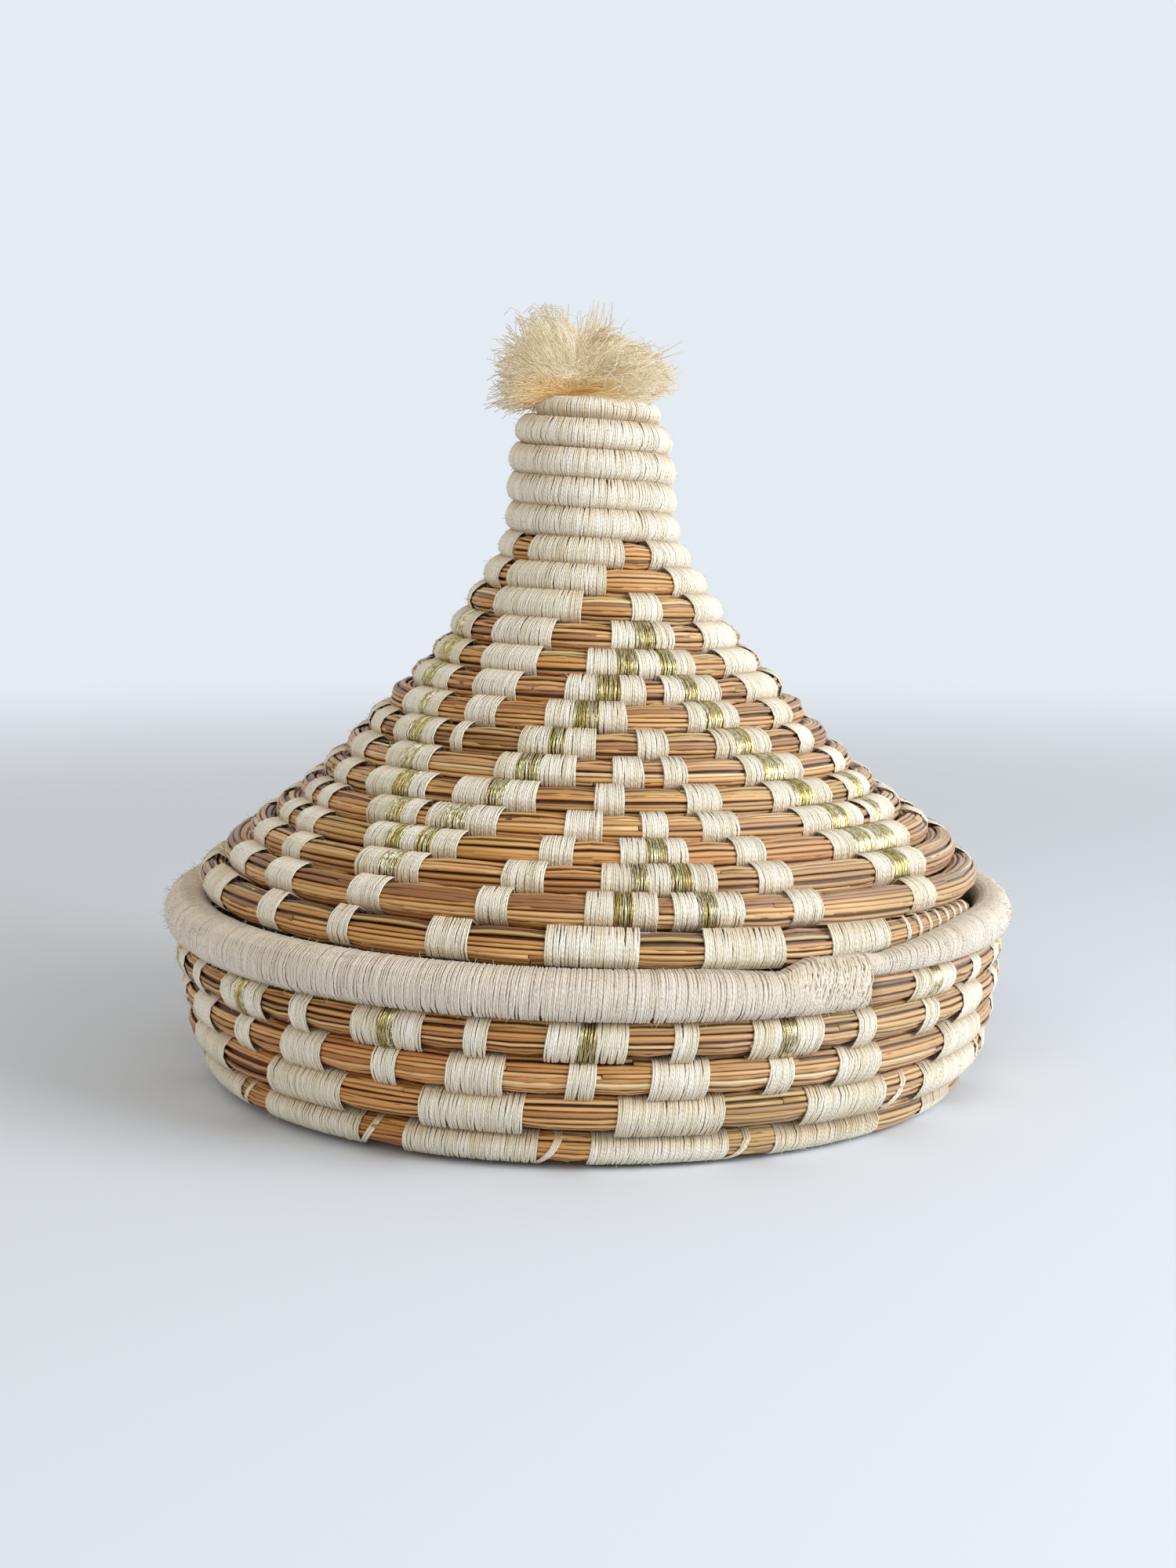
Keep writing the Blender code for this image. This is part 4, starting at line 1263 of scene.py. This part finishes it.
def tassel_look():
    """Fine crimped wool: deep yellow near the tie, which is painted shade where the strands crowd and meet
    the neck, pale elsewhere, and with a warm sheen.
    """
    look, tree, shader = new_look("tassel_wool", {
        "Roughness": 0.6, "Specular IOR Level": 0.3, "Sheen Weight": 1.0, "Sheen Roughness": 0.35,
        "Sheen Tint": (1.0, 0.9, 0.7, 1)})
    own = ramp(tree, written(tree, "tint"), wool_shades)
    # Painted shade near the tie, where the strands crowd together and meet the neck.
    root = ramp(tree, written(tree, "deep"), tie_shade_colours)
    tree.links.new(mix_colours(tree, 1.0, own, root, "MULTIPLY"), shader.inputs["Base Color"])
    return look


def hanging_strands(name, root, way, length, stem, droop, bend, points, thickness, waves, tint,
                    lie_on, look, draw):
    """Strands as three-sided tubes on cubic curves.

    Each goes up from its root by the stem, bends over into its own way and sinks by its droop at the
    end, and it bends aside by its bend halfway. It waves more and more towards its tip: waves holds a
    phase, a pace and a size for each strand. lie_on lifts the points that would sink into what lies below.
    """
    phase, pace, size = (part[:, None, None] for part in waves)
    share = np.linspace(0, 1, points)[:, None]
    up = np.array((0, 0, 1.0))
    first, second = (root + up * stem[:, None] * height + way * length[:, None] * place
                     for place, height in zip(bend_places, bend_heights))
    corners = [root, first, second + bend, root + way * length[:, None] - up * droop[:, None]]
    weights = ((1 - share) ** 3, 3 * (1 - share) ** 2 * share, 3 * (1 - share) * share**2, share**3)
    middle = sum(corner[:, None, :] * weight for corner, weight in zip(corners, weights))
    across = unit(np.cross(way, nearly_up))
    over = np.cross(across, way)[:, None, :]
    across = across[:, None, :]
    wave = np.sin(share * pace + phase) * share * size
    curl = draw.normal(0, strand_curl, (len(root), 1, 2)) * share**3 * size
    middle = middle + across * (wave + curl[:, :, :1])
    middle = lie_on(middle + over * (wave * wave_over_share + curl[:, :, 1:]))
    onward = unit(np.gradient(middle, axis=1))
    first = unit(np.cross(onward, across + over * strand_slant))
    second = np.cross(onward, first)
    half = thickness * (1 - strand_taper * share**2)
    rings = np.stack([middle + (first * math.cos(turn) + second * math.sin(turn)) * half
                      for turn in math.tau * np.arange(3) / 3], axis=2)
    grain = (edge_places, share, draw.uniform(0, grain_shift, (len(root), 1, 1)))
    return tube_mesh(name, rings, False, look, grain, tint=np.clip(tint, 0, 1)[:, None, None])


def on_the_neck(points):
    """Lifts points that would sink into the top of the neck, and leaves those beyond its side."""
    out = np.hypot(points[..., 0], points[..., 1])
    neck_line = lid_line[lid_along < neck_along]
    crest = lid_row / 2 * lid_row_shares[0][1] * bulge_share + tassel_strand
    lowest = np.interp(out, neck_line[:, 0], neck_line[:, 1]) + lid_rise + crest
    lowest = np.where(out < neck_radius * neck_reach_share, lowest, 0)
    return np.concatenate([points[..., :2], np.maximum(points[..., 2:], lowest[..., None])], axis=-1)


def make_tassel():
    """Each sweep is split into locks, and each lock into strands that stay together towards its tip."""
    draw = np.random.default_rng(61)
    bearing, rise, reach, spread, locks, sink = (np.array(column) for column in zip(*tassel_sweeps))
    bearing, rise = np.radians(bearing), np.radians(rise)
    way = np.stack([np.cos(rise) * np.sin(bearing), -np.cos(rise) * np.cos(bearing), np.sin(rise)], axis=1)
    sweep = np.repeat(np.arange(len(locks)), locks)
    lock_way = unit(way[sweep] + draw.normal(0, 1, (len(sweep), 3)) * spread[sweep][:, None])
    lock_length = reach[sweep] * draw.uniform(*lock_lengths_vary, len(sweep))
    phase, pace = draw.uniform(0, math.tau, len(sweep)), draw.uniform(*crimp_paces, len(sweep))
    lock_bend = draw.normal(0, tassel_bend, (len(sweep), 3)) * lock_length[:, None]
    lock = np.repeat(np.arange(len(sweep)), tassel_lock_strands)
    total = len(lock)
    way = unit(lock_way[lock] + draw.normal(0, tassel_fan, (total, 3)))
    way[:, 2] = np.maximum(way[:, 2], tassel_lowest_way)
    length = lock_length[lock] * draw.uniform(*strand_lengths_vary, total)
    spot = np.array(tassel_root) + way[:, :2] * tassel_root_spread
    spot = spot + draw.normal(0, tassel_root_size, (total, 2))
    root = np.column_stack([spot, np.full(total, knot_top - tassel_root_sunk)])
    stem = tassel_stem * (flat_stem_share + steep_stem_share * np.maximum(way[:, 2], 0))
    stem = stem * draw.uniform(*stems_vary, total)
    droop = sink[sweep][lock] * draw.uniform(*droops_vary, total)
    waves = (phase[lock] + draw.normal(0, crimp_starts_vary, total), pace[lock],
             crimp * draw.uniform(*crimps_vary, total))
    tint = draw.normal(lock_tint, lock_tints_vary, len(sweep))[lock]
    tint = tint + draw.normal(0, strand_tints_vary, total)
    look = tassel_look()
    for name, sweeps in tassel_pieces:
        own = np.isin(sweep[lock], sweeps)
        thing = hanging_strands(name, root[own], way[own], length[own], stem[own], droop[own],
                                lock_bend[lock][own], tassel_points, tassel_strand,
                                [part[own] for part in waves], tint[own], on_the_neck, look, draw)
        points = np.empty(len(thing.data.vertices) * 3, np.float32)
        thing.data.vertices.foreach_get("co", points)
        points = points.reshape(-1, 3)
        # Painted shade: the strands are yellower and darker near the tie.
        near = np.clip(1 - (points[:, 2] - knot_top) / tied_height, 0, 1)
        near *= np.clip(tied_side_share - np.abs(points[:, 0] - tassel_root[0]) / tied_width, 0, 1)
        thing.data.attributes.new("deep", "FLOAT", "POINT").data.foreach_set("value", near)
        # Light goes through such loose wool, so the strands don't darken each other.
        thing.visible_shadow = False
        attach(thing, "lid")
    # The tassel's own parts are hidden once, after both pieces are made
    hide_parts(*[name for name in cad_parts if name.startswith("tassel")])


make_tassel()

# The loose fibres
# Wool yarn is fuzzy: short fine hairs stand off it everywhere, and catch the light along its edges.
hair_lengths = (0.0014, 0.0042)
hair_thickness = 0.00011
hair_points = 3
hair_root, hair_off = 0.95, 1.3
hair_side = 1.7
hair_strays = 0.75
hair_lengths_vary = (0.4, 1)
hair_paces = (2, 5)
hair_wave_share = 0.12
hair_droop_share = 0.1
hair_tints = (0.3, 1)
hairs_on_bowl, hairs_on_rim, hairs_on_lid = 1500, 2600, 3800


def grow_hairs(name, coil, blocks, count, body, look, seed):
    """Hairs at random places on the cream blocks, on the side of the bundle that faces outwards."""
    draw = np.random.default_rng(seed)
    blocks = [block for block in blocks if block[0] == "c"]
    start, end = (np.array(column) for column in zip(*(block[1:3] for block in blocks)))
    low, high = at(coil, "run", start), at(coil, "run", end)
    block = draw.choice(len(blocks), count, p=(high - low) / np.sum(high - low))
    turn = at(coil, "turn", draw.uniform(low[block], high[block]), "run")
    around = draw.uniform(-hair_side, hair_side, count)
    root, off = (in_row(coil, turn, far * np.cos(around), far * np.sin(around))
                 for far in (hair_root, hair_off))
    way = unit(unit(off - root) + draw.normal(0, hair_strays, (count, 3)))
    length = draw.uniform(*hair_lengths, count) * draw.uniform(*hair_lengths_vary, count)
    waves = (draw.uniform(0, math.tau, count), draw.uniform(*hair_paces, count), length * hair_wave_share)
    tint = draw.uniform(*hair_tints, count)
    thing = hanging_strands(name, root, way, length, length * 0, length * hair_droop_share, 0, hair_points,
                            hair_thickness, waves, tint, lambda points: points, look, draw)
    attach(thing, body)


grow_hairs("bowl_hairs", bowl_coil, wall_blocks, hairs_on_bowl, "base", cream, 81)
grow_hairs("rim_hairs", rim_coil, [rim_block], hairs_on_rim, "base", rim_wool, 82)
grow_hairs("lid_hairs", lid_coil, blocks_on_lid, hairs_on_lid, "lid", cream, 83)
